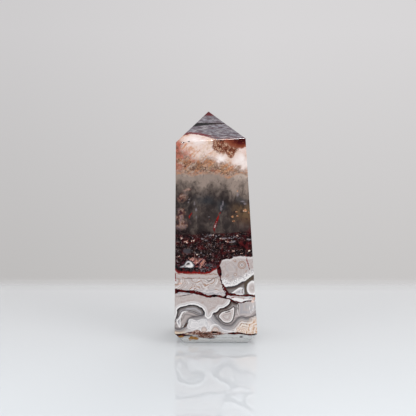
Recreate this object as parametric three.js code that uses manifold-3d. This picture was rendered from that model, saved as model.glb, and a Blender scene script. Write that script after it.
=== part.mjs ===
import * as THREE from 'three';
import { ConvexGeometry } from 'three/addons/geometries/ConvexGeometry.js';
import { mergeVertices } from 'three/addons/utils/BufferGeometryUtils.js';
import Module from 'manifold-3d';

// A hand-cut, polished agate tower, in millimetres: a leaning four-sided shaft with a low
// four-sided crown and a bevel round its sawn foot. It stands on z = 0, its front looks to -Y
// and its left is -X. The origin is under the middle of the shaft's foot.

// The four polished sides in the order front, right, back, left: the compass direction that
// each faces, its reach from the axis at the top of the foot bevel, and its inward slope.
const sides = [
  { facing: -90, reach: 13.7, slope: 2.15 },
  { facing: 0, reach: 13.85, slope: 3.6 },
  { facing: 90, reach: 13.7, slope: 2.6 },
  { facing: 180, reach: 13.85, slope: 0.5 },
];
const footRise = 3.9; // height of the bevel round the foot
const footSetback = 3.3; // how far the sawn foot lies inside the sides
const shoulderHeights = [69.0, 68.6, 68.0, 67.7]; // front right, back right, back left, front left
const apex = new THREE.Vector3(-2.5, 0.2, 78.3);
const edgeRadius = 0.3; // what polishing takes off every edge
const edgeSteps = 12;

// Natural pits that the polish left open on the front: where each one lies, its half width,
// half height and depth, and how far its long way is turned from level.
const pits = [
  { x: -3.55, z: 3.75, halfWidth: 1.0, halfHeight: 0.4, depth: 1.1, turn: 4 },
  { x: -0.45, z: 4.3, halfWidth: 0.95, halfHeight: 0.42, depth: 1.2, turn: -6 },
  { x: -10.9, z: 67.6, halfWidth: 0.72, halfHeight: 0.26, depth: 0.4, turn: 38 },
  { x: -9.0, z: 68.0, halfWidth: 0.36, halfHeight: 0.3, depth: 0.4, turn: -20 },
];
const pitRaggedness = 0.16; // share of its size by which a pit's wall wanders
const pitDetail = 4;

const stoneColour = 0x8d7d79;
const polishRoughness = 0.12;

const front = sides[0];
const radians = THREE.MathUtils.degToRad;
const next = (index) => (index + 1) % sides.length;
const previous = (index) => (index + sides.length - 1) % sides.length;

// How far a side's plane stands from the axis at a height.
function reachAt(side, height) {
  return side.reach - (height - footRise) * Math.tan(radians(side.slope));
}

// The point at a height where a side meets the next one, both moved inwards by an inset.
function cornerAt(index, height, inset = 0) {
  const side = sides[index];
  const neighbour = sides[next(index)];
  const facing = radians(side.facing);
  const turned = radians(neighbour.facing);
  const reach = reachAt(side, height) - inset;
  const across = reachAt(neighbour, height) - inset;
  const angle = Math.sin(turned - facing);
  const x = (reach * Math.sin(turned) - across * Math.sin(facing)) / angle;
  const y = (across * Math.cos(facing) - reach * Math.cos(turned)) / angle;
  return new THREE.Vector3(x, y, height);
}

// The plane through three points, facing away from the middle of the stone.
function facePlane(a, b, c) {
  const middle = new THREE.Vector3(0, 0, apex.z / 2);
  const plane = new THREE.Plane().setFromCoplanarPoints(a, b, c);
  return plane.distanceToPoint(middle) > 0 ? plane.negate() : plane;
}

// The centre of the ball of the edge radius that touches, from inside, the planes that
// meet at a corner. Where more than three meet, it is their least-squares point.
function roundingCentre(planes) {
  const spread = new THREE.Matrix3().multiplyScalar(0);
  const pull = new THREE.Vector3();
  for (const { normal, constant } of planes) {
    const [x, y, z] = normal.toArray();
    const products = [x * x, x * y, x * z, y * x, y * y, y * z, z * x, z * y, z * z];
    products.forEach((product, entry) => {
      spread.elements[entry] += product;
    });
    pull.addScaledVector(normal, -edgeRadius - constant);
  }
  return pull.applyMatrix3(spread.invert());
}

// The planes that meet at each corner of the faceted tower: the sawn foot's four corners,
// four at the top of the bevel, four at the shoulder and the apex.
function cornerPlanes() {
  const sawn = sides.map((side, i) => cornerAt(i, 0, footSetback));
  const bevelTop = sides.map((side, i) => cornerAt(i, footRise));
  const shoulder = sides.map((side, i) => cornerAt(i, shoulderHeights[i]));
  const floor = facePlane(sawn[0], sawn[1], sawn[2]);
  const bevel = sides.map((side, i) => facePlane(sawn[previous(i)], sawn[i], bevelTop[i]));
  const flank = sides.map((side, i) => facePlane(bevelTop[previous(i)], bevelTop[i], shoulder[i]));
  const facet = sides.map((side, i) => facePlane(shoulder[previous(i)], shoulder[i], apex));
  const corners = [facet];
  for (let i = 0; i < sides.length; i += 1) {
    const n = next(i);
    corners.push([floor, bevel[i], bevel[n]]);
    corners.push([bevel[i], bevel[n], flank[i], flank[n]]);
    corners.push([flank[i], flank[n], facet[i], facet[n]]);
  }
  return corners;
}

// The tower with every edge and corner rounded: the hull of a small ball in each corner.
function towerGeometry() {
  const ball = new THREE.SphereGeometry(edgeRadius, edgeSteps, edgeSteps).getAttribute('position');
  const points = [];
  for (const planes of cornerPlanes()) {
    const centre = roundingCentre(planes);
    for (let i = 0; i < ball.count; i += 1) {
      points.push(new THREE.Vector3().fromBufferAttribute(ball, i).add(centre));
    }
  }
  return new ConvexGeometry(points);
}

// A ragged hollow, sunk from the front side's surface to its depth.
function pitGeometry({ x, z, halfWidth, halfHeight, depth, turn }) {
  const hollow = new THREE.IcosahedronGeometry(1, pitDetail);
  const position = hollow.getAttribute('position');
  const point = new THREE.Vector3();
  for (let i = 0; i < position.count; i += 1) {
    point.fromBufferAttribute(position, i);
    const wander = Math.sin(5 * point.x + z) * Math.cos(4 * point.z + x) + Math.sin(7 * point.y);
    point.multiplyScalar(1 + (pitRaggedness / 2) * wander);
    position.setXYZ(i, point.x, point.y, point.z);
  }
  hollow.scale(halfWidth, depth, halfHeight);
  hollow.rotateY(radians(turn));
  hollow.rotateX(radians(-front.slope));
  hollow.translate(x, -reachAt(front, z), z);
  return hollow;
}

// A closed geometry as a solid for cutting, with its shared vertices merged.
function toSolid(wasm, geometry) {
  const bare = new THREE.BufferGeometry();
  bare.setAttribute('position', geometry.getAttribute('position'));
  if (geometry.index) {
    bare.setIndex(geometry.index);
  }
  const merged = mergeVertices(bare, 1e-5);
  const vertProperties = new Float32Array(merged.getAttribute('position').array);
  const triVerts = new Uint32Array(merged.index.array);
  return new wasm.Manifold(new wasm.Mesh({ numProp: 3, vertProperties, triVerts }));
}

// The tower less its pits.
async function agateGeometry() {
  const wasm = await Module();
  wasm.setup();
  let stone = toSolid(wasm, towerGeometry());
  for (const pit of pits) {
    stone = stone.subtract(toSolid(wasm, pitGeometry(pit)));
  }
  const { vertProperties, triVerts } = stone.getMesh();
  const geometry = new THREE.BufferGeometry();
  geometry.setAttribute('position', new THREE.BufferAttribute(vertProperties, 3));
  geometry.setIndex(new THREE.BufferAttribute(triVerts, 1));
  geometry.computeVertexNormals();
  return geometry;
}

const polishedAgate = new THREE.MeshStandardMaterial({
  color: stoneColour,
  roughness: polishRoughness,
  metalness: 0,
});
const agateTower = new THREE.Mesh(await agateGeometry(), polishedAgate);
agateTower.name = 'agate_tower';

const group = new THREE.Group();
group.add(agateTower);

export default group;
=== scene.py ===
import math

import bmesh
import bpy
import numpy as np
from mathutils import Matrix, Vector, noise


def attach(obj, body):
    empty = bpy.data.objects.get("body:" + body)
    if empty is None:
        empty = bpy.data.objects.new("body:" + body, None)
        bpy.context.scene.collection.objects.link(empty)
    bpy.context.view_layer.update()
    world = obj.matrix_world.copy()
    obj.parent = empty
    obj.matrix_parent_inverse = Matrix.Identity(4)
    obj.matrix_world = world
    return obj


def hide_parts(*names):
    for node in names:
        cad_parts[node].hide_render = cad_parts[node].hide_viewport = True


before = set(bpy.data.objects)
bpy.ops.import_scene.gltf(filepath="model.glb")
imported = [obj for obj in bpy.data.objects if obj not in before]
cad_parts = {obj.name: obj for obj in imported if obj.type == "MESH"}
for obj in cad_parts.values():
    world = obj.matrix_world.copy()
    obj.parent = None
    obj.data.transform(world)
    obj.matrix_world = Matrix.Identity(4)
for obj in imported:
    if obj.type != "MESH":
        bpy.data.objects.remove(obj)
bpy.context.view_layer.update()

mm = 0.001
print("frame loaded")


# The camera stands close in front of the stone, a little left of its middle and level with
# its shoulder, and looks slightly down.
cameraSettings = {
    "place": (-2.67 * mm, -259.9 * mm, 67.8 * mm),
    "lookDown": 5.03,       # degrees below level
    "lens": 64.9,
    "sensorWidth": 36.0,
    "sees": (0.01, 20.0),   # from how near to how far, in metres
}


def makeCamera():
    data = bpy.data.cameras.new("camera")
    data.lens = cameraSettings["lens"]
    data.sensor_width = cameraSettings["sensorWidth"]
    data.clip_start, data.clip_end = cameraSettings["sees"]
    camera = bpy.data.objects.new("camera", data)
    camera.location = cameraSettings["place"]
    camera.rotation_euler = (math.radians(90.0 - cameraSettings["lookDown"]), 0.0, 0.0)
    bpy.context.scene.collection.objects.link(camera)
    bpy.context.scene.camera = camera


def linear(red, green, blue):
    # a colour as a screen shows it, in the shader's linear light
    values = []
    for value in (red, green, blue):
        share = value / 255.0
        values.append(share / 12.92 if share <= 0.04045 else ((share + 0.055) / 1.055) ** 2.4)
    return (*values, 1.0)


# The stage: a glossy pale table whose far edge shows behind the stone, its colour darkening towards the back
# as painted shade, and soft lights.
stageSettings = {
    "tableBack": 116 * mm,      # the table's far edge, behind the stone
    "tableFades": 76 * mm,      # where it begins to blur into the backdrop
    "tableFront": -500 * mm,
    "tableHalfWidth": 700 * mm,
    "tableShade": -150 * mm,    # in front of this, it has only its near colour; behind it, painted shade darkens it towards the far colour
    "nearLitColour": (224, 229, 232),
    "farShadedColour": (201, 201, 202),
    "tableRoughness": 0.02,
    "lowShadedBackdrop": (199, 197, 196),
    "highLitBackdrop": (216, 214, 215),
    "backdropRise": (-0.19, 0.14),  # the slopes of view between which it passes from its darker low colour to its lighter high one: painted shade, darker low down
    "backdropTurn": (-0.25, 0.05),  # and those between which it brightens from left to right
    "leftBackdrop": 0.9,        # its brightness at the left, against 1 at the right
    "fillColour": (200, 200, 202),
    "fillStrength": 1.5,
    "darkRoom": (14, 13, 13),   # what the polish mirrors where no lamp stands
}


def makeTable():
    data = bpy.data.meshes.new("table")
    halfWidth = stageSettings["tableHalfWidth"]
    front = stageSettings["tableFront"]
    back = stageSettings["tableBack"]
    corners = [(-halfWidth, front, 0), (halfWidth, front, 0), (halfWidth, back, 0), (-halfWidth, back, 0)]
    data.from_pydata(corners, [], [(0, 1, 2, 3)])
    table = bpy.data.objects.new("table", data)
    bpy.context.scene.collection.objects.link(table)
    material = bpy.data.materials.new("glossyTable")
    material.use_nodes = True
    tree = material.node_tree
    shader = tree.nodes["Principled BSDF"]
    shader.inputs["Roughness"].default_value = stageSettings["tableRoughness"]
    place = tree.nodes.new("ShaderNodeSeparateXYZ")
    tree.links.new(tree.nodes.new("ShaderNodeTexCoord").outputs["Object"], place.inputs[0])

    def share(start, end):
        node = tree.nodes.new("ShaderNodeMapRange")
        node.interpolation_type = "SMOOTHSTEP"
        node.inputs["From Min"].default_value = start
        node.inputs["From Max"].default_value = end
        tree.links.new(place.outputs["Y"], node.inputs["Value"])
        return node.outputs["Result"]

    # painted shade: the table's colour darkens from the paler near colour in front to the far colour at the
    # back
    shades = tree.nodes.new("ShaderNodeValToRGB")
    shades.color_ramp.elements[0].color = linear(*stageSettings["nearLitColour"])
    shades.color_ramp.elements[1].color = linear(*stageSettings["farShadedColour"])
    tree.links.new(share(stageSettings["tableShade"], back), shades.inputs["Fac"])
    tree.links.new(shades.outputs["Color"], shader.inputs["Base Color"])
    tree.links.new(share(back, stageSettings["tableFades"]), shader.inputs["Alpha"])
    data.materials.append(material)
    table.visible_glossy = False  # its pale top would veil the stone's darkest layers


def makeWorld():
    world = bpy.data.worlds.new("studio")
    bpy.context.scene.world = world
    world.use_nodes = True
    tree = world.node_tree
    tree.nodes.clear()

    def background(colour, strength=1.0):
        node = tree.nodes.new("ShaderNodeBackground")
        node.inputs["Color"].default_value = linear(*colour)
        node.inputs["Strength"].default_value = strength
        return node.outputs["Background"]

    def mix(fac, first, second):
        node = tree.nodes.new("ShaderNodeMixShader")
        tree.links.new(fac, node.inputs["Fac"])
        tree.links.new(first, node.inputs[1])
        tree.links.new(second, node.inputs[2])
        return node.outputs["Shader"]

    def share(value, start, end, low, high):
        node = tree.nodes.new("ShaderNodeMapRange")
        for name, setting in (("From Min", start), ("From Max", end), ("To Min", low), ("To Max", high)):
            node.inputs[name].default_value = setting
        tree.links.new(value, node.inputs["Value"])
        return node.outputs["Result"]

    path = tree.nodes.new("ShaderNodeLightPath").outputs
    fill = background(stageSettings["fillColour"], stageSettings["fillStrength"])
    room = background(stageSettings["darkRoom"])
    towards = tree.nodes.new("ShaderNodeSeparateXYZ")
    tree.links.new(tree.nodes.new("ShaderNodeTexCoord").outputs["Generated"], towards.inputs[0])
    # the backdrop that the camera sees glows with painted shade: darker low down and at the left
    shades = tree.nodes.new("ShaderNodeValToRGB")
    shades.color_ramp.elements[0].color = linear(*stageSettings["lowShadedBackdrop"])
    shades.color_ramp.elements[1].color = linear(*stageSettings["highLitBackdrop"])
    height = share(towards.outputs["Z"], *stageSettings["backdropRise"], 0.0, 1.0)
    tree.links.new(height, shades.inputs["Fac"])
    backdrop = background((255, 255, 255))
    tree.links.new(shades.outputs["Color"], backdrop.node.inputs["Color"])
    dimmest = stageSettings["leftBackdrop"]
    brightness = share(towards.outputs["X"], *stageSettings["backdropTurn"], dimmest, 1.0)
    tree.links.new(brightness, backdrop.node.inputs["Strength"])
    aroundIt = mix(path["Is Glossy Ray"], fill, room)
    output = tree.nodes.new("ShaderNodeOutputWorld")
    tree.links.new(mix(path["Is Camera Ray"], aroundIt, backdrop), output.inputs["Surface"])


# Soft lamps, all turned to the stone, each with its width and height. The first three are only
# seen mirrored: one lies on the crown as a pale veil, one glints along the ridge under it, and
# one stands for the pale backdrop in the table's polish.
lamps = {
    "overheadLamp": {"place": (0.0, 0.02, 0.5), "size": (0.42, 0.42), "watts": 0.3, "mirrored": True},
    "ridgeLamp": {"place": (0.03, -0.2, 0.47), "size": (0.12, 0.12), "watts": 6.0, "mirrored": True},
    "backdropLamp": {"place": (0.0, 0.6, 0.42), "size": (3.0, 0.9), "watts": 5.1, "mirrored": True},
    "leftLamp": {"place": (-0.45, -0.35, 0.3), "size": (0.3, 0.3), "watts": 0.5, "mirrored": False},
    "rightLamp": {"place": (0.45, -0.35, 0.3), "size": (0.3, 0.3), "watts": 1.3, "mirrored": False},
    "backLamp": {"place": (0.1, 0.5, 0.35), "size": (0.35, 0.35), "watts": 1.2, "mirrored": False},
}
lampAim = 35 * mm               # the height on the stone that the lamps face


def makeLamps():
    for name, settings in lamps.items():
        data = bpy.data.lights.new(name, "AREA")
        data.shape = "RECTANGLE"
        data.size, data.size_y = settings["size"]
        data.energy = settings["watts"]
        lamp = bpy.data.objects.new(name, data)
        lamp.location = settings["place"]
        towards = Vector((0.0, 0.0, lampAim)) - Vector(settings["place"])
        lamp.rotation_euler = towards.to_track_quat("-Z", "Y").to_euler()
        lamp.visible_glossy = settings["mirrored"]
        lamp.visible_diffuse = not settings["mirrored"]
        lamp.visible_camera = False
        bpy.context.scene.collection.objects.link(lamp)


makeCamera()
makeTable()
makeWorld()
makeLamps()
bpy.context.scene.view_settings.view_transform = "Standard"
print("camera, table and lamps made")


# The tower's form. Its thirteen faces are read from the frame, so that it always fits it.
towerForm = {
    "columns": 88,                # across each side
    "edgeRadius": 0.3 * mm,
    "laceStep": 0.25 * mm,        # rows in the banded foot, whose pattern is the finest
    "laceTop": 31 * mm,
    "upperStep": 0.44 * mm,       # rows above it
    "bevelStep": 0.3 * mm,
    "nearEdge": (0.07, 0.08, 0.1, 0.13, 0.17, 0.22),  # the first steps from an edge, in millimetres
    "weldDistance": 0.002 * mm,
}
compass = [(0, -1), (1, 0), (0, 1), (-1, 0)]    # the ways that the sides face, from the front round


def readFaces(node):
    # the widest triangle that faces a given way lies on the flat of that face
    mesh = node.data
    count = len(mesh.polygons)
    normals = np.empty(3 * count)
    centres = np.empty(3 * count)
    areas = np.empty(count)
    mesh.polygons.foreach_get("normal", normals)
    mesh.polygons.foreach_get("center", centres)
    mesh.polygons.foreach_get("area", areas)
    normals = normals.reshape(-1, 3)
    centres = centres.reshape(-1, 3)
    level = np.maximum(np.hypot(normals[:, 0], normals[:, 1]), 1e-9)
    steepness = {"foot": (-1.1, -0.98), "bevel": (-0.9, -0.3), "side": (-0.2, 0.2), "crown": (0.4, 0.95)}
    straight = 0.97     # how squarely a triangle has to face its way
    faces = {}
    for part, (low, high) in steepness.items():
        faces[part] = []
        for x, y in compass:
            fits = (normals[:, 2] > low) & (normals[:, 2] < high)
            if part != "foot":
                fits &= (normals[:, 0] * x + normals[:, 1] * y) / level > straight
            widest = np.argmax(np.where(fits, areas, 0.0))
            faces[part].append((normals[widest], float(normals[widest] @ centres[widest])))
    return faces


def meetingPoint(*faces):
    normals = np.array([normal for normal, reach in faces])
    reaches = np.array([reach for normal, reach in faces])
    return np.linalg.lstsq(normals, reaches, rcond=None)[0]


def stepsAlong(length, step, count=None):
    # shares of a length from 0 to 1, close together near both ends
    near = np.array(towerForm["nearEdge"]) * mm
    middle = length - 2 * near.sum()
    wide = max(2, math.ceil(middle / step)) if count is None else count - 2 * len(near)
    steps = np.concatenate([near, np.full(wide, middle / wide), near[::-1]])
    return np.concatenate([[0.0], np.cumsum(steps)]) / length


def shaftRows(length, foot):
    # fine rows up to the top of the lace, coarser ones above
    near = np.array(towerForm["nearEdge"]) * mm
    fine = towerForm["laceTop"] - foot - near.sum()
    coarse = length - fine - 2 * near.sum()
    fineRows = math.ceil(fine / towerForm["laceStep"])
    coarseRows = math.ceil(coarse / towerForm["upperStep"])
    lower = np.full(fineRows, fine / fineRows)
    upper = np.full(coarseRows, coarse / coarseRows)
    steps = np.concatenate([near, lower, upper, near[::-1]])
    return np.concatenate([[0.0], np.cumsum(steps)]) / length


def quadPatch(corners, across, up):
    a, b, c, d = corners
    u = across[None, :, None]
    v = up[:, None, None]
    points = (1 - v) * ((1 - u) * a + u * b) + v * ((1 - u) * d + u * c)
    index = np.arange(len(up) * len(across)).reshape(len(up), len(across))
    faces = np.stack([index[:-1, :-1], index[:-1, 1:], index[1:, 1:], index[1:, :-1]], -1)
    return points.reshape(-1, 3), faces.reshape(-1, 4).tolist()


def trianglePatch(corners, across):
    # rows that lose one point each, and stay close together near all three edges
    last = len(across) - 1
    points = []
    rows = []
    for k in range(last + 1):
        row = []
        for i in range(last - k + 1):
            weights = np.array([across[last - k - i], across[i], across[k]])
            row.append(len(points))
            points.append(weights @ np.array(corners) / weights.sum())
        rows.append(row)
    faces = []
    for low, high in zip(rows[:-1], rows[1:]):
        for i in range(len(high)):
            faces.append((low[i], low[i + 1], high[i]))
            if i + 1 < len(high):
                faces.append((low[i + 1], high[i + 1], high[i]))
    return np.array(points), faces


def nearestInside(points, faces, inset, rounds=60):
    # the nearest point of the faceted form shrunk by the inset, by turns against each face
    nearest = points.copy()
    pulls = np.zeros((len(faces), len(points), 3))
    for _ in range(rounds):
        for k, (normal, reach) in enumerate(faces):
            trial = nearest + pulls[k]
            excess = np.maximum(0.0, trial @ normal - (reach - inset))
            nearest = trial - excess[:, None] * normal
            pulls[k] = trial - nearest
    return nearest


def roundEdges(points, faces, radius):
    touching = sum((points @ normal > reach - 2 * radius).astype(int) for normal, reach in faces)
    edge = touching > 1
    inner = nearestInside(points[edge], faces, radius)
    outward = points[edge] - inner
    outward /= np.linalg.norm(outward, axis=1)[:, None]
    rounded = points.copy()
    rounded[edge] = inner + radius * outward
    return rounded


def makeTowerMesh():
    faces = readFaces(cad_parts["agate_tower"])
    foot = faces["foot"][0]
    bevel, side, crown = faces["bevel"], faces["side"], faces["crown"]
    after = [1, 2, 3, 0]
    sawn = [meetingPoint(foot, bevel[i], bevel[after[i]]) for i in range(4)]
    bevelTop = [meetingPoint(bevel[i], bevel[after[i]], side[i], side[after[i]]) for i in range(4)]
    shoulder = [meetingPoint(side[i], side[after[i]], crown[i], crown[after[i]]) for i in range(4)]
    apex = meetingPoint(*crown)
    across = stepsAlong(np.linalg.norm(bevelTop[0] - bevelTop[3]), None, towerForm["columns"])
    bevelRows = stepsAlong(np.linalg.norm(bevelTop[0] - sawn[0]), towerForm["bevelStep"])
    rows = shaftRows(np.linalg.norm(shoulder[0] - bevelTop[0]), bevelTop[0][2])
    points = []
    corners = []
    count = 0
    for i in range(4):
        j = i - 1
        patches = (
            quadPatch((sawn[j], sawn[i], bevelTop[i], bevelTop[j]), across, bevelRows),
            quadPatch((bevelTop[j], bevelTop[i], shoulder[i], shoulder[j]), across, rows),
            trianglePatch((shoulder[j], shoulder[i], apex), across),
        )
        for patchPoints, patchFaces in patches:
            points.append(patchPoints)
            corners += [[count + v for v in face] for face in patchFaces]
            count += len(patchPoints)
    points = roundEdges(np.concatenate(points), [foot] + bevel + side + crown, towerForm["edgeRadius"])
    data = bpy.data.meshes.new("agateTower")
    data.from_pydata(points.tolist(), [], corners)
    form = bmesh.new()
    form.from_mesh(data)
    bmesh.ops.remove_doubles(form, verts=form.verts, dist=towerForm["weldDistance"])
    rim = [edge for edge in form.edges if edge.is_boundary]
    bmesh.ops.contextual_create(form, geom=rim)        # the sawn foot, one flat face
    form.to_mesh(data)
    form.free()
    data.polygons.foreach_set("use_smooth", [True] * len(data.polygons))
    return data, faces


towerMesh, towerFaces = makeTowerMesh()
print("tower mesh made,", len(towerMesh.vertices), "points")


# The stone's layers, seams and pockets as they lie in its front, in millimetres: how far to
# the right and how high. A line of "edges" runs from left to right, and its distance counts
# upwards from it. An outline of "pockets" closes on itself, and its distance counts inwards.
edges = {
    "crownFoot": [(-14.8, 69.5), (-10.6, 69.9), (-8.5, 70.4), (-6.5, 70.3), (-5, 70), (-2.7, 69.5),
        (-1.4, 69), (0.6, 68.8), (3, 68.9), (6, 69), (9.5, 69.1), (14, 69.1)],
    "rustFoot": [(-14.7, 57.1), (-13.1, 57.2), (-10.4, 57.4), (-9, 56.9), (-8, 56.5), (-7, 56.9),
        (-4, 57.3), (-1, 57.2), (0.9, 56.7), (2.3, 56.2), (3.9, 55.7), (4.9, 56.1), (6.9, 57.1),
        (8.9, 57.3), (10.3, 56.7), (14, 56.6)],
    "smokeFoot": [(-14.8, 37.4), (-13.3, 37.2), (-10, 37), (-6, 37.2), (-1.2, 37.4), (4, 37.6), (8, 38),
        (12, 38), (14, 38.2)],
    "laceTop": [(-14.8, 26.7), (-13.6, 26.9), (-12, 27.3), (-11.2, 28.3), (-10, 28.9), (-8, 29.6),
        (-5.6, 29.4), (-4, 29.1), (-2.4, 28.7), (-0.8, 28.3), (0.2, 27.9), (1.4, 28.3), (2.4, 28.7),
        (3.8, 29.1), (4.6, 28.9), (6, 29.6), (8, 29.9), (12, 29.8), (14, 29.7)],
    "fringeFoot": [(-14.8, 25.3), (-13.6, 25.3), (-13, 24.7), (-12.4, 24.3), (-11.4, 24.4), (-10, 24.2),
        (-6, 24.2), (-4.4, 24.1), (-3, 24.2), (-2, 24.4), (-1.4, 24.9), (-0.8, 25.3), (0, 25.7),
        (1.2, 27), (3, 31), (6, 36)],
    "wall": [(-14.8, 7.3), (-14, 8.1), (-13.5, 9.1), (-13.2, 10.9), (-13, 12), (-12.4, 12.7),
        (-11.4, 13.1), (-10.4, 13.3), (-9.2, 13.6), (-8, 13.8), (-7, 13.7), (-6, 13.4), (-5.1, 12.9),
        (-4.4, 12.4), (-4, 11.8), (-3.8, 11.1), (-3.7, 10.3), (-3.6, 9.7), (-3.2, 9.3), (-2.7, 9),
        (-2.2, 9.2), (-1.7, 9.6), (-1.3, 10.2), (-1.1, 10.8), (-0.5, 11.1), (0.1, 11.3), (0.6, 11.6),
        (0.9, 12.1), (1.2, 12.5), (1.8, 12.7), (2.6, 12.9), (3.3, 13.2), (4, 13.8), (4.4, 14.3),
        (4.8, 14.9), (5.2, 15.3), (5.7, 14.9), (7, 14.5), (8.3, 14.3), (9.3, 14.4), (10.4, 14.7),
        (12.4, 14.8), (14.4, 14.8)],
    "pocketFoot": [(-14.8, 6.1), (-14, 5.9), (-13, 5.5), (-12, 5.4), (-11.3, 5.7), (-10.8, 6.1),
        (-10.2, 6.7), (-9.5, 7.1), (-9.4, 7.8), (-9.2, 8.5), (-8.6, 9.1), (-7.6, 9.5), (-6.4, 9.6),
        (-4.6, 9.9), (-3.4, 10.4), (-1.4, 10.6), (-0.5, 10), (0, 9.1), (1, 8.1), (1.6, 7.5), (3, 6.8),
        (5, 6.7), (6.2, 7.7), (7.2, 8.9), (8.6, 9.5), (10.4, 9.1), (12.4, 9.7), (14.4, 10.7)],
    "footSeam": [(-14.8, 3.6), (-12, 3.6), (-10.6, 3.9), (-9.4, 4.4), (-8, 4.6), (-6.4, 4.6), (-4.8, 4.1),
        (-3.2, 3.9), (-0.8, 4.1), (2, 4), (4, 4), (6.6, 3.8), (8, 4.2), (9.8, 3.8), (11.4, 3.4),
        (13.2, 3.8), (14.4, 3.9)],
}
pockets = {
    "hook": [(-17, 5), (-13.8, 8.5), (-13, 9.3), (-12.4, 9.9), (-12, 10.7), (-11.6, 11.5), (-10.8, 11.9),
        (-9.8, 12), (-8.6, 11.8), (-7.4, 11.4), (-6.2, 10.9), (-5.2, 10.7), (-4.4, 10.5), (-3, 9.6),
        (-4, 6), (-10, 3)],
    "wedge": [(-9.2, 11.6), (-10.8, 11.4), (-11.5, 11), (-12, 10.1), (-12.5, 9.1), (-13.2, 8.4),
        (-13, 7.3), (-12.5, 6.3), (-12, 5.8), (-11.8, 6.5), (-11.8, 8.1), (-11.5, 9.5), (-11.1, 10.5),
        (-10, 11.1)],
    "lobe": [(-9.2, 8.7), (-8, 9), (-7.2, 8.5), (-6, 8.5), (-4.8, 8.9), (-4, 9), (-3.2, 8.7), (-2.8, 7.9),
        (-2.4, 7.1), (-2, 6.1), (-2.2, 5.2), (-4, 5.3), (-5.2, 5.4), (-6.6, 5), (-8, 5.1), (-9.4, 5.7),
        (-9.7, 6.5), (-9.3, 7.5)],
    "kernel": [(1.2, 9.7), (1.6, 10.5), (2.4, 11.1), (4, 11.5), (5.2, 12.1), (5.9, 12.6), (5.8, 10.6),
        (5.4, 8.9), (4.8, 8.1), (3.8, 7.8), (2.6, 8.1), (1.8, 8.9)],
    "blueRoom": [(7.6, 14.9), (7.8, 13), (7.6, 11.4), (7.4, 10.2), (8.4, 10.2), (9.6, 10.4), (10.8, 10.1),
        (12, 10.8), (13.4, 12), (16, 13), (16, 15.5), (11, 15.8)],
    "block": [(0.9, 25.7), (1.4, 22.9), (1.7, 21.3), (2.3, 20.4), (2.8, 19.8), (3.3, 19.5), (4.2, 19.6),
        (5.2, 19.7), (6.2, 19.9), (7.2, 20.3), (8, 20.8), (8.8, 21.3), (9.8, 21.5), (10.8, 22.3),
        (11.6, 22.9), (12.4, 23.5), (14, 24.1), (17, 24.8), (17, 33), (0.6, 33)],
    "shade": [(2.3, 20.4), (2.8, 19.8), (3.3, 19.5), (4.2, 19.6), (5.2, 19.7), (6.2, 19.9), (7.2, 20.3),
        (8, 20.8), (8.8, 21.3), (9.8, 21.5), (10.8, 22.3), (11.6, 22.9), (12.4, 23.5), (14, 24.1),
        (17, 24.8), (17, 16.2), (12.6, 16.3), (10, 16.4), (5.2, 16.8), (4.2, 16.8), (3.2, 18.2)],
    "shadeCore": [(4.9, 17.3), (6.4, 18.4), (8.2, 19.4), (8.9, 19.3), (9.2, 17.2), (7, 17)],
    "eyes": [(-10.6, 27.2), (-10, 28.1), (-9.2, 28.5), (-8.3, 28.2), (-7.6, 27.5), (-7.3, 26.7),
        (-7.8, 26.1), (-8.8, 25.9), (-9.9, 26.1), (-11.2, 26.1), (-12.5, 25.7), (-12.6, 26.2),
        (-11.6, 26.6)],
    "leftLens": [(-9.2, 18.3), (-7.6, 18.3), (-6.4, 18.1), (-5.2, 17.7), (-4, 17.2), (-3.2, 16.7),
        (-4.8, 17.1), (-6, 17.4), (-7.4, 17.8), (-9.2, 18)],
    "rightLens": [(4.8, 15.8), (5.6, 16.1), (6.6, 16.1), (8.4, 15.8), (9.8, 15.6), (10.8, 15.6),
        (10.2, 14.9), (9.2, 14.5), (8.2, 14.3), (7.2, 14.6), (6, 14.9), (5.2, 15.3)],
}

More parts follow.
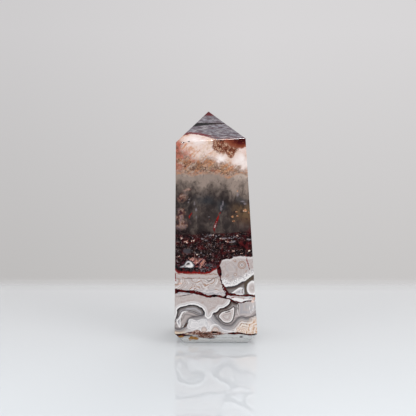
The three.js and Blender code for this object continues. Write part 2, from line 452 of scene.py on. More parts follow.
# Seams, drawn as strokes. Each point has its place and the seam's half width there.
seams = {
    "maroonSeams": [
        [(-16, 18.1, 0.9), (-14.2, 18.1, 0.9), (-13.2, 18.3, 0.66), (-12, 18.4, 0.42),
         (-10.8, 18.2, 0.36), (-7.4, 17.8, 0.36), (-6, 17.4, 0.3), (-4.8, 17.1, 0.26), (-3.6, 16.7, 0.3),
         (-2.4, 16.4, 0.34), (-1.2, 16.6, 0.36), (0, 16.7, 0.36), (1.2, 16.5, 0.26), (2.4, 16.2, 0.26),
         (3.6, 15.9, 0.2), (4.7, 15.6, 0.14)],
        [(-9.8, 18.3, 0.1), (-7.6, 18.3, 0.14), (-6.4, 18.2, 0.16), (-5.2, 17.7, 0.14), (-4, 17.2, 0.16),
         (-3.2, 16.7, 0.2)],
        [(3.2, 16.5, 0.3), (4.4, 17.1, 0.36), (5.6, 17.1, 0.4), (6.8, 16.9, 0.24), (8.2, 16.7, 0.14),
         (9.4, 16.7, 0.12)],
        [(9.9, 16.8, 0.2), (11.6, 16.9, 0.2), (12.6, 16.6, 0.16), (13.6, 15.7, 0.16), (15, 15, 0.16)],
        [(4.7, 15.7, 0.12), (5.2, 15.2, 0.3), (6, 14.9, 0.26), (7.2, 14.6, 0.14), (8.2, 14.3, 0.12),
         (9.2, 14.5, 0.16), (10.2, 14.9, 0.12), (11.8, 14.9, 0.14), (12.8, 15, 0.05)],
        [(0.4, 28.4, 0.14), (0.5, 27.9, 0.34), (0.7, 26.7, 0.46), (0.9, 25.9, 0.62), (1.1, 24.9, 0.68),
         (1.3, 23.9, 0.5), (1.4, 23, 0.16), (1.7, 21.7, 0.2), (2, 20.6, 0.2)],
        [(1.9, 20.8, 0.12), (2.3, 19.4, 0.14), (2.9, 18.2, 0.16), (3.5, 17.2, 0.2), (3.9, 16.4, 0.2)],
        [(2.2, 20.6, 0.12), (2.9, 19.4, 0.16), (3.6, 18.3, 0.18), (4.2, 17.2, 0.3)],
        [(-15, 3.6, 0.2), (-12, 3.6, 0.16), (-10.6, 3.9, 0.12)],
        [(4.2, 4, 0.12), (5.8, 4.1, 0.3), (7.6, 4.1, 0.24), (9, 3.9, 0.12), (10.4, 3.6, 0.2),
         (12, 3.5, 0.22), (13.4, 3.8, 0.16), (15, 3.9, 0.12)],
    ],
    "redSeams": [
        [(9.9, 30.2, 0.22), (10.1, 29.4, 0.2), (10.3, 28.4, 0.16), (10.7, 27.3, 0.22), (10.9, 26.3, 0.2),
         (11.2, 25.5, 0.2), (11.4, 24.9, 0.08)],
        [(1.8, 45, 0.06), (1.1, 44, 0.12), (0.8, 43.2, 0.18), (0.4, 42, 0.34), (0, 41, 0.4),
         (-0.3, 40, 0.42), (-0.6, 38.8, 0.3), (-0.4, 37.6, 0.16)],
        [(-2.4, 42.3, 0.12), (-2, 42.2, 0.16), (-0.8, 41.6, 0.12), (0, 41.6, 0.16)],
        [(-8, 44.4, 0.14), (-8.7, 43.4, 0.26), (-9, 42.2, 0.1)],
        [(4.8, 15.8, 0.1), (5.8, 16.2, 0.08), (6.8, 16.2, 0.1), (8.4, 15.8, 0.1), (9.8, 15.6, 0.12)],
        [(-13.4, 21.6, 0.12), (-13.5, 23.2, 0.16), (-13.8, 24.4, 0.16)],
    ],
    "brownSeams": [
        [(-13, 22.2, 0.08), (-11, 22.3, 0.1), (-8.4, 22.5, 0.1), (-6, 22.6, 0.08), (-4, 22.5, 0.1),
         (-3.2, 22, 0.12), (-2.4, 21.6, 0.14), (-1.6, 22, 0.1), (-0.4, 22.7, 0.1), (0.9, 23.1, 0.1)],
        [(-13.4, 16.4, 0.08), (-11.6, 16.6, 0.1), (-10.2, 16.9, 0.14), (-8.4, 17.2, 0.1),
         (-7.4, 17.5, 0.08)],
        [(-9, 11.6, 0.06), (-10.6, 11, 0.1), (-11.2, 10.3, 0.12), (-11.6, 9.4, 0.12), (-11.8, 8, 0.1),
         (-11.8, 6.6, 0.1)],
        [(-9.8, 7.4, 0.3), (-10.2, 6.6, 0.4), (-10.9, 6, 0.16)],
        [(1.1, 9.2, 0.1), (0.9, 9.9, 0.14), (1.3, 10.8, 0.14), (2.2, 11.5, 0.12), (3.9, 11.9, 0.14),
         (5.2, 12.5, 0.12), (6, 13.2, 0.08)],
        [(3, 11, 0.1), (3.8, 11.2, 0.16), (4.8, 11.6, 0.14)],
        [(9, 19.3, 0.08), (8.8, 18.4, 0.14), (8.9, 17.5, 0.12)],
    ],
    "paleSeams": [
        [(-14.5, 36.3, 0.1), (-12, 36, 0.14), (-9, 35.7, 0.16), (-6, 35.9, 0.14), (-3.6, 35.4, 0.12),
         (-2, 34.7, 0.1)],
        [(-4.6, 36.2, 0.1), (-2.6, 36.7, 0.16), (-0.6, 36.9, 0.12), (1.4, 36, 0.16), (3.6, 35.9, 0.16),
         (5.6, 36, 0.1)],
        [(6, 36.4, 0.1), (8, 36, 0.14), (10.5, 35.5, 0.18), (12.4, 35.6, 0.16), (14.5, 35.9, 0.12)],
        [(3.4, 34.9, 0.16), (4.8, 34.7, 0.16), (6.4, 35.1, 0.1)],
    ],
    "whiteSeams": [
        [(-2, 5.7, 0.14), (-1.6, 6.5, 0.16), (-1, 6.9, 0.18), (0, 7, 0.18), (1, 6.5, 0.16),
         (1.6, 5.9, 0.16), (2.4, 5.2, 0.16), (4, 4.8, 0.18), (6, 4.7, 0.18), (6.7, 5.6, 0.14)],
        [(5, 17.4, 0.1), (6.6, 18.5, 0.16), (8.2, 19.4, 0.16), (8.3, 18.4, 0.12), (8, 17.4, 0.1)],
        [(9.3, 19.8, 0.1), (9.3, 18.6, 0.14), (9.5, 17.4, 0.14)],
        [(-10.6, 7.4, 0.1), (-10.9, 6.6, 0.12), (-11.3, 6, 0.1)],
        [(6.9, 14.2, 0.08), (7.3, 12.6, 0.12), (7.2, 11, 0.1), (7.8, 10.2, 0.08)],
        [(11.4, 13.8, 0.08), (11.2, 12.6, 0.12), (11.6, 11.2, 0.12), (12.2, 10.6, 0.08)],
        [(12.2, 14.2, 0.1), (12.5, 13, 0.14), (12.2, 11.6, 0.1)],
    ],
    "oliveSeams": [
        [(15, 24, 0.5), (12.8, 23.2, 0.5), (12, 22.5, 0.5), (10.8, 21.7, 0.55), (10, 20.9, 0.55),
         (9.8, 19.3, 0.45), (9.9, 18.1, 0.4), (10.2, 17, 0.35)],
    ],
}

# Spots: the place, half width and half height of each.
spots = {
    "blockOrbs": [(8.6, 27, 1.45, 1.45), (6.4, 23.8, 0.6, 0.6), (3.7, 23.4, 0.5, 0.5)],
    "shadeOrbs": [(12.1, 19.3, 1.9, 2.5)],
    "lightOrbs": [(-10.2, 20.9, 0.9, 0.7), (-7.2, 19.9, 1, 0.8)],
    "domes": [(-4, 5.3, 1, 1.1), (-0.1, 4.9, 1.5, 1.5)],
    "slits": [(-9.2, 27.5, 0.5, 0.34), (-9.7, 27.1, 0.34, 0.3), (-10.4, 26.6, 0.3, 0.3)],
    "flames": [(-5.9, 27.5, 2.3, 1.5), (-8, 29, 2.2, 0.6), (-4.3, 28.4, 0.9, 0.8)],
    "creamSpots": [(-9.9, 34.7, 0.75, 0.6), (-7.9, 35.1, 0.6, 0.35), (1.6, 35.8, 0.7, 0.4),
        (2.8, 35.6, 0.5, 0.4), (6.9, 36.7, 0.6, 0.36), (3.6, 34.9, 0.7, 0.3), (5.2, 34.9, 0.4, 0.3),
        (-11.6, 35.9, 0.5, 0.3), (5.6, 31.6, 0.6, 0.3), (8.4, 30.9, 0.8, 0.3), (11, 31.6, 0.8, 0.25),
        (12.6, 31, 0.5, 0.3), (-12.3, 29.8, 0.5, 0.5), (-6.2, 30.6, 0.4, 0.4), (8.8, 32.2, 0.5, 0.3),
        (-4.5, 35.9, 0.8, 0.3), (10.2, 35.4, 1.4, 0.22), (12.6, 35.5, 0.9, 0.2), (-0.9, 36.9, 0.6, 0.2)],
    "pinkSpots": [(-11.6, 49.5, 1.9, 1.4), (-11.4, 44.4, 1.2, 1.6), (-12.2, 42.9, 1.4, 1),
        (-11.4, 40.6, 2, 1.6), (-10.2, 51.9, 0.7, 0.5), (-8.9, 52.2, 0.8, 0.6)],
    "goldSpots": [(5.4, 43.1, 0.6, 0.42), (7.2, 43.3, 0.5, 0.36), (5.9, 41.6, 0.6, 0.36),
        (6.8, 44.7, 0.6, 0.3), (10.8, 44.4, 0.4, 0.4), (9.6, 45.2, 0.8, 0.5), (7.1, 51.6, 0.3, 0.35)],
    "paleSpots": [(-8.9, 48.9, 0.3, 0.3), (-9.1, 47.9, 0.36, 0.32), (-7.2, 47.4, 0.3, 0.8),
        (-6.6, 45.4, 0.35, 0.6), (1.7, 46, 0.4, 1), (2.3, 47.6, 0.3, 1.1), (-0.2, 39.7, 0.2, 0.6),
        (8.6, 48.2, 0.8, 0.3), (9.6, 47.4, 0.5, 0.4), (-6.5, 43, 0.3, 0.5), (-2.3, 43.2, 0.5, 0.2),
        (7.2, 50.4, 0.5, 0.7)],
    "brownSpots": [(2, 67, 3.4, 2.9), (4.6, 66.6, 3, 2.9), (4.9, 64.7, 1.3, 2.3)],
    "maroonSpots": [(8.2, 68.6, 5, 2.6), (12, 67.8, 3, 2.6), (11.8, 64.6, 0.7, 3)],
    "smudgeSpots": [(-2, 2.1, 2.4, 0.5), (8.6, 2.6, 0.9, 0.6), (-9, 3.1, 1.6, 0.4)],
    "crystalSpots": [(4, 16.4, 0.8, 0.5), (11.2, 16.1, 1, 0.5), (10, 16, 0.6, 0.3)],
    "coralSpots": [(12.8, 15.8, 0.9, 0.6), (12.2, 14.8, 0.7, 0.5), (13.8, 8.9, 0.6, 1.2),
        (-12, 20.8, 0.9, 0.4)],
    "salmonSpots": [(-12.2, 61.6, 4.8, 4.4), (-13.4, 65.2, 3.4, 4.2), (-9, 60, 3.6, 2.4)],
    "whiteSpots": [(8.8, 62.2, 4, 4.4), (1.6, 62.3, 2.4, 1.8), (-6.8, 68.4, 5, 2.2)],
    "greySpots": [(-9.4, 31.8, 2.2, 1.3), (-2.4, 26.9, 1.6, 0.8), (-0.4, 26.2, 1, 0.8)],
    "redSpots": [(-7.6, 28.3, 1, 0.5), (-5.2, 28.2, 1.2, 0.7), (-3, 26, 0.9, 0.5), (-1.2, 26.4, 1.3, 0.9)],
    "peachSpots": [(8.6, 4.2, 2.4, 2.8), (14.2, 5.4, 4.6, 4.8), (11.4, 4, 1.6, 1.2)],
    "coldSpots": [(-4, 48, 4, 2.6), (2, 47, 2.4, 2), (8.6, 48, 2, 1.6)],
    "ochreSpots": [(-7.4, 2, 1.6, 0.9), (-11.8, 2.6, 0.8, 0.5)],
    "crust": [(-3.5, 3.6, 3, 1.2), (0, 4, 3, 1), (-6.6, 4.3, 2, 0.9), (-3.6, 2.6, 4, 0.6)],
    "pits": [(-3.5, 3.75, 1.15, 0.42), (-0.45, 4.3, 1.1, 0.42), (-10.9, 67.6, 0.7, 0.3),
        (-9, 68, 0.4, 0.35)],
}

# The layers run on through the stone, so the flanks and the back show the drawing again, each
# time from its left to its right, moved and sized a little differently. Near an edge, one copy
# passes into the next. Away from the front, a noise stirs the drawing. It has no seed, so the
# flanks, the back and the crown come out a little differently in each run.
copies = {
    "front": {"size": 1.0, "shift": 0.0, "lift": 0.0},
    "right": {"size": 1.12, "shift": 2.2, "lift": 1.2},
    "back": {"size": 0.94, "shift": -3.0, "lift": 1.8},
    "left": {"size": 1.06, "shift": -1.4, "lift": -0.6},
}
spread = {
    "blend": 0.3,              # share of a flank's width over which one copy passes into the next
    "ownCrown": (62.0, 69.0),  # above these heights the front's copy runs right through
    "taper": 1.6,              # how fast a seam thins out where its copy ends, in millimetres
    "shown": 0.001,            # a copy's least share that is worked out
    "stirDepth": 9.0,          # how far behind the front the stirring is full
    "stirAmount": 2.8,
    "stirGrain": 13.0,
    "stirCrown": (68.0, 74.0),  # between these heights it dies down
    "stirLeft": 0.3,           # to this share
    "clamp": 8.0,              # no distance counts further than this
    "seamReach": 3.0,          # nor is a seam's known further from its points
    "farAside": 60.0,          # the edges run on level to here on both sides
    "farAbove": 200.0,         # higher than any stone
}


def smoothCurve(points, closed, pieces=5):
    # a curve through all the points, as short straight pieces
    points = np.array(points, float)
    count = len(points)
    if closed:
        before, after, beyond = (np.roll(points, 1, 0), np.roll(points, -1, 0), np.roll(points, -2, 0))
        spans = range(count)
    else:
        before = np.concatenate([points[:1], points[:-1]])
        after = np.concatenate([points[1:], points[-1:]])
        beyond = np.concatenate([points[2:], points[-1:], points[-1:]])
        spans = range(count - 1)
    curve = []
    for k in spans:
        for t in np.arange(pieces) / pieces:
            curve.append(0.5 * (2 * points[k] + (after[k] - before[k]) * t
                                + (2 * before[k] - 5 * points[k] + 4 * after[k] - beyond[k]) * t * t
                                + (3 * points[k] - before[k] - 3 * after[k] + beyond[k]) * t ** 3))
    if not closed:
        curve.append(points[-1])
    return np.array(curve)


def strokeDistance(places, curve):
    # the distance to the curve, less its half width at the nearest point if it has one
    best = np.full(len(places), 1e9)
    for start, end in zip(curve[:-1], curve[1:]):
        along = end[:2] - start[:2]
        offset = places - start[:2]
        share = np.clip(offset @ along / max(along @ along, 1e-12), 0.0, 1.0)
        gap = np.hypot(offset[:, 0] - share * along[0], offset[:, 1] - share * along[1])
        if len(start) > 2:
            gap = gap - start[2] - share * (end[2] - start[2])
        best = np.minimum(best, gap)
    return best


def insideOutline(places, curve):
    inside = np.zeros(len(places), bool)
    for start, end in zip(curve, np.roll(curve, -1, 0)):
        crosses = (start[1] > places[:, 1]) != (end[1] > places[:, 1])
        rise = end[1] - start[1] if end[1] != start[1] else 1e-12
        at = start[0] + (places[:, 1] - start[1]) / rise * (end[0] - start[0])
        inside ^= crosses & (places[:, 0] < at)
    return inside


def nearThem(places, points, margin):
    points = np.array(points, float)[:, :2]
    low = points.min(0) - margin
    high = points.max(0) + margin
    return np.all((places > low) & (places < high), axis=1)


def smoothStep(values, start, end):
    share = np.clip((values - start) / (end - start), 0.0, 1.0)
    return share * share * (3 - 2 * share)


def surfaceAt(heights, side, bevel):
    # how far a flank, or the bevel under it, stands from the axis at each height
    reaches = []
    for normal, reach in (side, bevel):
        reaches.append((reach / mm - normal[2] * heights) / np.hypot(normal[0], normal[1]))
    return np.minimum(*reaches)


def copiesOf(points):
    # for each copy: each point's share in it, and its place in the drawing
    x, y, z = (points / mm).T
    front, back = (surfaceAt(z, towerFaces["side"][i], towerFaces["bevel"][i]) for i in (0, 2))
    depth = np.maximum(0.0, front + y)
    along = np.clip(depth / (front + back), 0.0, 1.0)
    shaft = 1 - smoothStep(z, *spread["ownCrown"])
    away = shaft * smoothStep(along, 0.0, spread["blend"])
    behind = shaft * smoothStep(along, 1 - spread["blend"], 1.0)
    beside = away - behind
    shares = {"front": 1 - away, "right": beside * (x > 0), "back": behind, "left": beside * (x <= 0)}
    across = {"front": x, "right": y, "back": -x, "left": -y}
    grain = spread["stirGrain"] * mm
    stirred = np.array([noise.noise_vector(Vector(point) / grain) for point in points.tolist()])
    stirred *= spread["stirAmount"] * smoothStep(depth, 0.0, spread["stirDepth"])[:, None]
    stirred *= (1 - (1 - spread["stirLeft"]) * smoothStep(z, *spread["stirCrown"]))[:, None]
    found = []
    for name, copy in copies.items():
        u = copy["size"] * across[name] + copy["shift"] + stirred[:, 0]
        found.append((shares[name], np.stack([u, z + copy["lift"] + stirred[:, 2]], 1)))
    return found


def fieldOf(name, places):
    clamp = spread["clamp"]
    aside = spread["farAside"]
    above = spread["farAbove"]
    if name in edges:
        curve = smoothCurve(edges[name], False)
        ends = np.array([(-aside, curve[0][1]), (aside, curve[-1][1])])
        line = np.concatenate([ends[:1], curve, ends[1:]])
        level = np.array(edges[name])[:, 1]
        near = (places[:, 1] > level.min() - clamp) & (places[:, 1] < level.max() + clamp)
        values = np.where(places[:, 1] > level.mean(), clamp, -clamp)
        outline = np.concatenate([line, [(aside, above), (-aside, above)]])
        distance = strokeDistance(places[near], line)
        values[near] = np.where(insideOutline(places[near], outline), distance, -distance)
        return np.clip(values, -clamp, clamp)
    if name in pockets:
        curve = smoothCurve(pockets[name], True)
        near = nearThem(places, curve, clamp)
        values = np.full(len(places), -clamp)
        distance = strokeDistance(places[near], np.concatenate([curve, curve[:1]]))
        values[near] = np.where(insideOutline(places[near], curve), distance, -distance)
        return np.clip(values, -clamp, clamp)
    if name in seams:
        values = np.full(len(places), clamp)
        for seam in seams[name]:
            near = nearThem(places, seam, spread["seamReach"])
            distance = strokeDistance(places[near], smoothCurve(seam, False, 3))
            values[near] = np.minimum(values[near], distance)
        return values
    values = np.full(len(places), -1.0)
    for x, z, halfWidth, halfHeight in spots[name]:
        radius = np.hypot((places[:, 0] - x) / halfWidth, (places[:, 1] - z) / halfHeight)
        values = np.maximum(values, 1 - radius)
    return values


def blendField(name, found):
    # seams thin out where their copy ends, and everything else passes over by its share
    count = len(found[0][0])
    total = np.full(count, spread["clamp"]) if name in seams else np.zeros(count)
    for share, places in found:
        shown = share > spread["shown"]
        values = fieldOf(name, places[shown])
        if name in seams:
            thinned = values + spread["taper"] * (1 - share[shown])
            total[shown] = np.minimum(total[shown], thinned)
        else:
            total[shown] += share[shown] * values
    return total


def storePattern(mesh):
    points = np.empty(3 * len(mesh.vertices))
    mesh.vertices.foreach_get("co", points)
    found = copiesOf(points.reshape(-1, 3))
    fields = {name: blendField(name, found) for name in [*edges, *pockets, *seams, *spots]}
    drawing = sum(share[:, None] * places for share, places in found)
    fields["across"] = drawing[:, 0]
    fields["up"] = drawing[:, 1]
    for name, values in fields.items():
        attribute = mesh.attributes.new(name, "FLOAT", "POINT")
        attribute.data.foreach_set("value", values.astype(np.float32))


# The pits that the polish left open, sunk where the pattern has them.
pitForm = {
    "depth": 0.8 * mm,
    "upperDepth": 0.35 * mm,   # of those above the next height
    "upperFrom": 60 * mm,
    "wall": (0.0, 0.55),       # the shares of a pit's radius, from its rim, that its wall takes up
}


def sinkPits(mesh):
    values = np.empty(len(mesh.vertices))
    points = np.empty(3 * len(values))
    normals = np.empty(3 * len(values))
    mesh.attributes["pits"].data.foreach_get("value", values)
    mesh.vertices.foreach_get("co", points)
    mesh.vertex_normals.foreach_get("vector", normals)
    heights = points.reshape(-1, 3)[:, 2]
    depths = np.where(heights > pitForm["upperFrom"], pitForm["upperDepth"], pitForm["depth"])
    sunk = depths * smoothStep(values, *pitForm["wall"])
    mesh.vertices.foreach_set("co", points - np.repeat(sunk, 3) * normals)
    mesh.update()


storePattern(towerMesh)
sinkPits(towerMesh)
print("layers, seams, pockets and pits laid out on the mesh")


# The stone's colours as daylight shows them, in red, green and blue out of 255.
paint = {
    "white": (234, 231, 230), "milk": (212, 206, 205), "pinkGrey": (184, 173, 170),
    "beige": (164, 136, 123), "bluish": (166, 164, 169), "grey": (136, 131, 130),
    "taupe": (112, 103, 99), "umber": (82, 65, 61), "chalk": (252, 247, 245),
    "pearl": (198, 189, 187), "rim": (28, 23, 26), "slate": (70, 67, 72),
    "ink": (16, 11, 13), "maroon": (82, 24, 26), "wine": (50, 13, 17),
    "scarlet": (136, 28, 24), "coral": (190, 102, 84), "pinkWhite": (228, 208, 201),
    "cream": (228, 210, 186), "peach": (224, 200, 184), "ochre": (168, 122, 66),
    "orange": (198, 132, 88), "salmon": (156, 92, 76), "rust": (128, 66, 46),
    "cocoa": (74, 44, 36), "sand": (196, 160, 136), "gold": (170, 126, 88),
    "olive": (104, 82, 62), "fog": (188, 170, 158), "smoke": (148, 132, 122),
    "dusk": (86, 76, 71), "night": (44, 39, 39), "mauve": (122, 98, 106),
    "ash": (140, 131, 136), "plum": (82, 46, 54), "tip": (92, 14, 20),
    "capMauve": (88, 66, 74), "capAsh": (110, 103, 109), "capSilver": (160, 158, 166),
    "bronze": (122, 84, 68), "gloom": (32, 22, 24), "glassGrey": (214, 214, 213),
    "glassDark": (184, 182, 180), "glassLight": (232, 234, 234), "khaki": (88, 76, 66),
    "khakiLight": (136, 116, 96), "soot": (62, 54, 52), "crimson": (112, 20, 24),
    "slateBlue": (50, 56, 62), "goldBeige": (170, 132, 104),
}

# Colours in order, each with the value it belongs to: a depth or a height in millimetres, a
# share of a spot's radius from its rim to its middle, or the strength of a noise or of bands.
ramps = {
    "leftRooms": [(0.0, "rim"), (0.16, "rim"), (0.34, "slate"), (0.6, "taupe"), (0.9, "grey"),
                  (1.3, "bluish"), (1.7, "grey"), (3.0, "grey")],
    "rightRooms": [(0.0, "ink"), (0.22, "rim"), (0.5, "umber"), (0.9, "taupe"), (1.4, "grey"),
                   (1.8, "taupe"), (2.6, "grey"), (4.5, "pinkGrey")],
    "hook": [(0.0, "rim"), (0.1, "umber"), (0.2, "bluish"), (0.4, "grey"), (0.5, "taupe"),
             (0.62, "grey"), (1.0, "pinkGrey"), (1.5, "grey"), (2.2, "pinkGrey"), (3.4, "grey")],
    "wedge": [(0.0, "milk"), (0.1, "white"), (0.3, "white"), (0.42, "bluish"), (0.8, "grey"),
              (1.0, "milk")],
    "kernel": [(-0.7, "taupe"), (-0.5, "grey"), (-0.38, "umber"), (-0.3, "rim"), (-0.2, "grey"),
               (-0.1, "milk"), (0.0, "white"), (0.2, "white"), (0.28, "beige"), (0.38, "milk"),
               (0.7, "milk"), (0.9, "beige"), (1.0, "pinkGrey"), (1.5, "milk")],
    "blueRoom": [(0.0, "milk"), (0.16, "pinkGrey"), (0.8, "bluish"), (1.6, "pinkGrey"),
                 (2.6, "bluish")],
    "milkyFoot": [(0.0, "slate"), (0.12, "slate"), (0.5, "grey"), (1.4, "bluish"), (2.6, "milk"),
                  (3.6, "white")],
    "creamArcs": [(0.0, "beige"), (0.3, "peach"), (0.55, "cream"), (1.0, "white")],
    "creamStripe": [(0.3, "beige"), (0.8, "gold"), (1.2, "cream"), (1.8, "cream"), (2.2, "sand")],
    "domes": [(0.0, "milk"), (0.1, "beige"), (0.22, "pinkGrey"), (0.34, "beige"), (0.46, "peach"),
              (0.6, "pinkGrey"), (0.8, "peach")],
    "peachArcs": [(-1.0, "white"), (-0.2, "peach"), (0.6, "cream"), (0.86, "orange"), (1.0, "gold")],
    "laceRim": [(0.0, "milk"), (0.08, "white"), (0.45, "white"), (0.55, "bluish"), (0.65, "milk"),
                (0.95, "milk"), (1.3, "pinkGrey"), (4.0, "pinkGrey")],
    "laceCurls": [(0.0, "goldBeige"), (0.2, "beige"), (0.42, "pinkGrey"), (0.66, "milk"),
                  (0.85, "white"), (1.0, "pearl")],
    "calmLace": [(0.0, "beige"), (0.4, "pinkGrey"), (0.8, "pearl"), (1.0, "pinkGrey")],
    "lightOrbs": [(0.0, "milk"), (0.1, "beige"), (0.3, "pinkGrey"), (0.5, "milk"), (0.75, "beige")],
    "blockCurls": [(0.0, "beige"), (0.25, "pinkGrey"), (0.6, "pinkGrey"), (1.0, "milk")],
    "cloudyWhite": [(0.38, "bluish"), (0.48, "milk"), (0.56, "white"), (0.66, "white")],
    "blockOrbs": [(0.0, "milk"), (0.05, "beige"), (0.2, "beige"), (0.3, "pinkGrey"), (0.5, "beige"),
                  (0.56, "pinkGrey"), (0.74, "milk"), (0.8, "grey"), (1.0, "grey")],
    "shade": [(0.0, "rim"), (0.16, "slate"), (0.4, "umber"), (0.8, "taupe"), (1.3, "grey"),
              (1.6, "taupe"), (2.2, "bluish")],
    "shadeCore": [(-0.2, "taupe"), (0.0, "bluish"), (0.14, "white"), (0.4, "milk"), (0.9, "bluish")],
    "shadeOrbs": [(0.0, "milk"), (0.06, "white"), (0.24, "white"), (0.34, "milk"), (0.5, "pearl"),
                  (0.75, "pinkGrey"), (1.0, "milk")],
    "fringeLayer": [(0.32, "ink"), (0.46, "gloom"), (0.54, "wine"), (0.6, "plum"), (0.66, "slate"),
                    (0.74, "mauve")],
    "flames": [(0.36, "wine"), (0.41, "mauve"), (0.44, "crimson"), (0.48, "coral"), (0.51, "pinkWhite"),
               (0.54, "crimson"), (0.57, "orange"), (0.61, "mauve"), (0.66, "wine")],
    "eyes": [(-0.3, "gloom"), (-0.1, "slate"), (0.05, "slate"), (0.2, "bluish"), (0.36, "milk"),
             (0.7, "white"), (1.0, "milk"), (1.3, "bluish")],
    "fringe": [(-0.2, "scarlet"), (0.1, "scarlet"), (0.3, "crimson"), (0.55, "maroon"), (0.9, "wine")],
    "jasper": [(0.3, "ink"), (0.46, "gloom"), (0.57, "wine"), (0.74, "maroon")],
    "jasperThreads": [(0.36, "wine"), (0.43, "bronze"), (0.5, "beige"), (0.56, "ash"),
                      (0.64, "bronze")],
    "maroonRoom": [(0.38, "ink"), (0.5, "wine"), (0.62, "maroon")],
    "creamShards": [(0.36, "maroon"), (0.43, "salmon"), (0.5, "beige"), (0.56, "pinkWhite"),
                    (0.66, "cream")],
    "smoke": [(37.0, "gloom"), (39.5, "soot"), (44.0, "soot"), (47.5, "night"), (50.5, "soot"),
              (52.5, "dusk"), (55.5, "smoke"), (57.2, "smoke"), (59.2, "fog")],
    "pinkClouds": [(0.36, "gloom"), (0.44, "plum"), (0.5, "bronze"), (0.57, "beige"), (0.65, "mauve")],
    "glints": [(0.36, "rust"), (0.46, "gold"), (0.56, "orange"), (0.66, "peach")],
    "chalkyPink": [(0.3, "sand"), (0.41, "peach"), (0.5, "pinkWhite"), (0.57, "peach"), (0.66, "sand")],
    "salmonPatch": [(0.34, "cocoa"), (0.42, "rust"), (0.5, "salmon"), (0.59, "coral"), (0.7, "sand")],
    "stainedGround": [(0.34, "bronze"), (0.42, "khakiLight"), (0.47, "sand"), (0.51, "smoke"),
                      (0.56, "fog"), (0.61, "khakiLight"), (0.68, "pinkWhite")],
    "stains": [(0.3, "cocoa"), (0.39, "rust"), (0.46, "bronze"), (0.52, "khakiLight"), (0.58, "gold"),
               (0.66, "sand")],
    "brownGrains": [(0.0, "cocoa"), (0.3, "rust"), (0.6, "salmon"), (0.8, "orange"), (1.0, "sand")],
    "brownPatch": [(0.34, "wine"), (0.42, "cocoa"), (0.47, "rust"), (0.53, "bronze"), (0.62, "sand")],
    "shoulderMaroon": [(-0.1, "salmon"), (0.2, "rust"), (0.55, "maroon"), (0.9, "wine")],
    "glass": [(0.0, "glassDark"), (0.2, "glassGrey"), (0.6, "glassLight"), (0.85, "glassGrey"),
              (1.0, "white")],
    "mauveFoot": [(0.34, "wine"), (0.42, "plum"), (0.48, "mauve"), (0.54, "beige"), (0.62, "cream")],
    "footLine": [(0.4, "wine"), (0.5, "plum"), (0.6, "bronze")],
    "crust": [(0.3, "ink"), (0.39, "wine"), (0.45, "rust"), (0.52, "bronze"), (0.58, "beige"),
              (0.66, "pinkWhite")],
    "maroonSeams": [(0.36, "ink"), (0.46, "wine"), (0.56, "maroon")],
    "crystals": [(0.3, "slate"), (0.4, "bluish"), (0.52, "white"), (0.64, "bluish")],
    "coralGlow": [(0.35, "coral"), (0.5, "peach"), (0.65, "pinkWhite")],
    "redSeams": [(0.36, "maroon"), (0.46, "crimson"), (0.56, "scarlet")],
}

# The polish: mirror smooth on the lace and quartz, duller where the stone is softer or broken.
polish = {"ior": 1.54, "roughness": 0.08, "jasperAdds": 0.08, "crust": 0.35, "pits": 0.7}


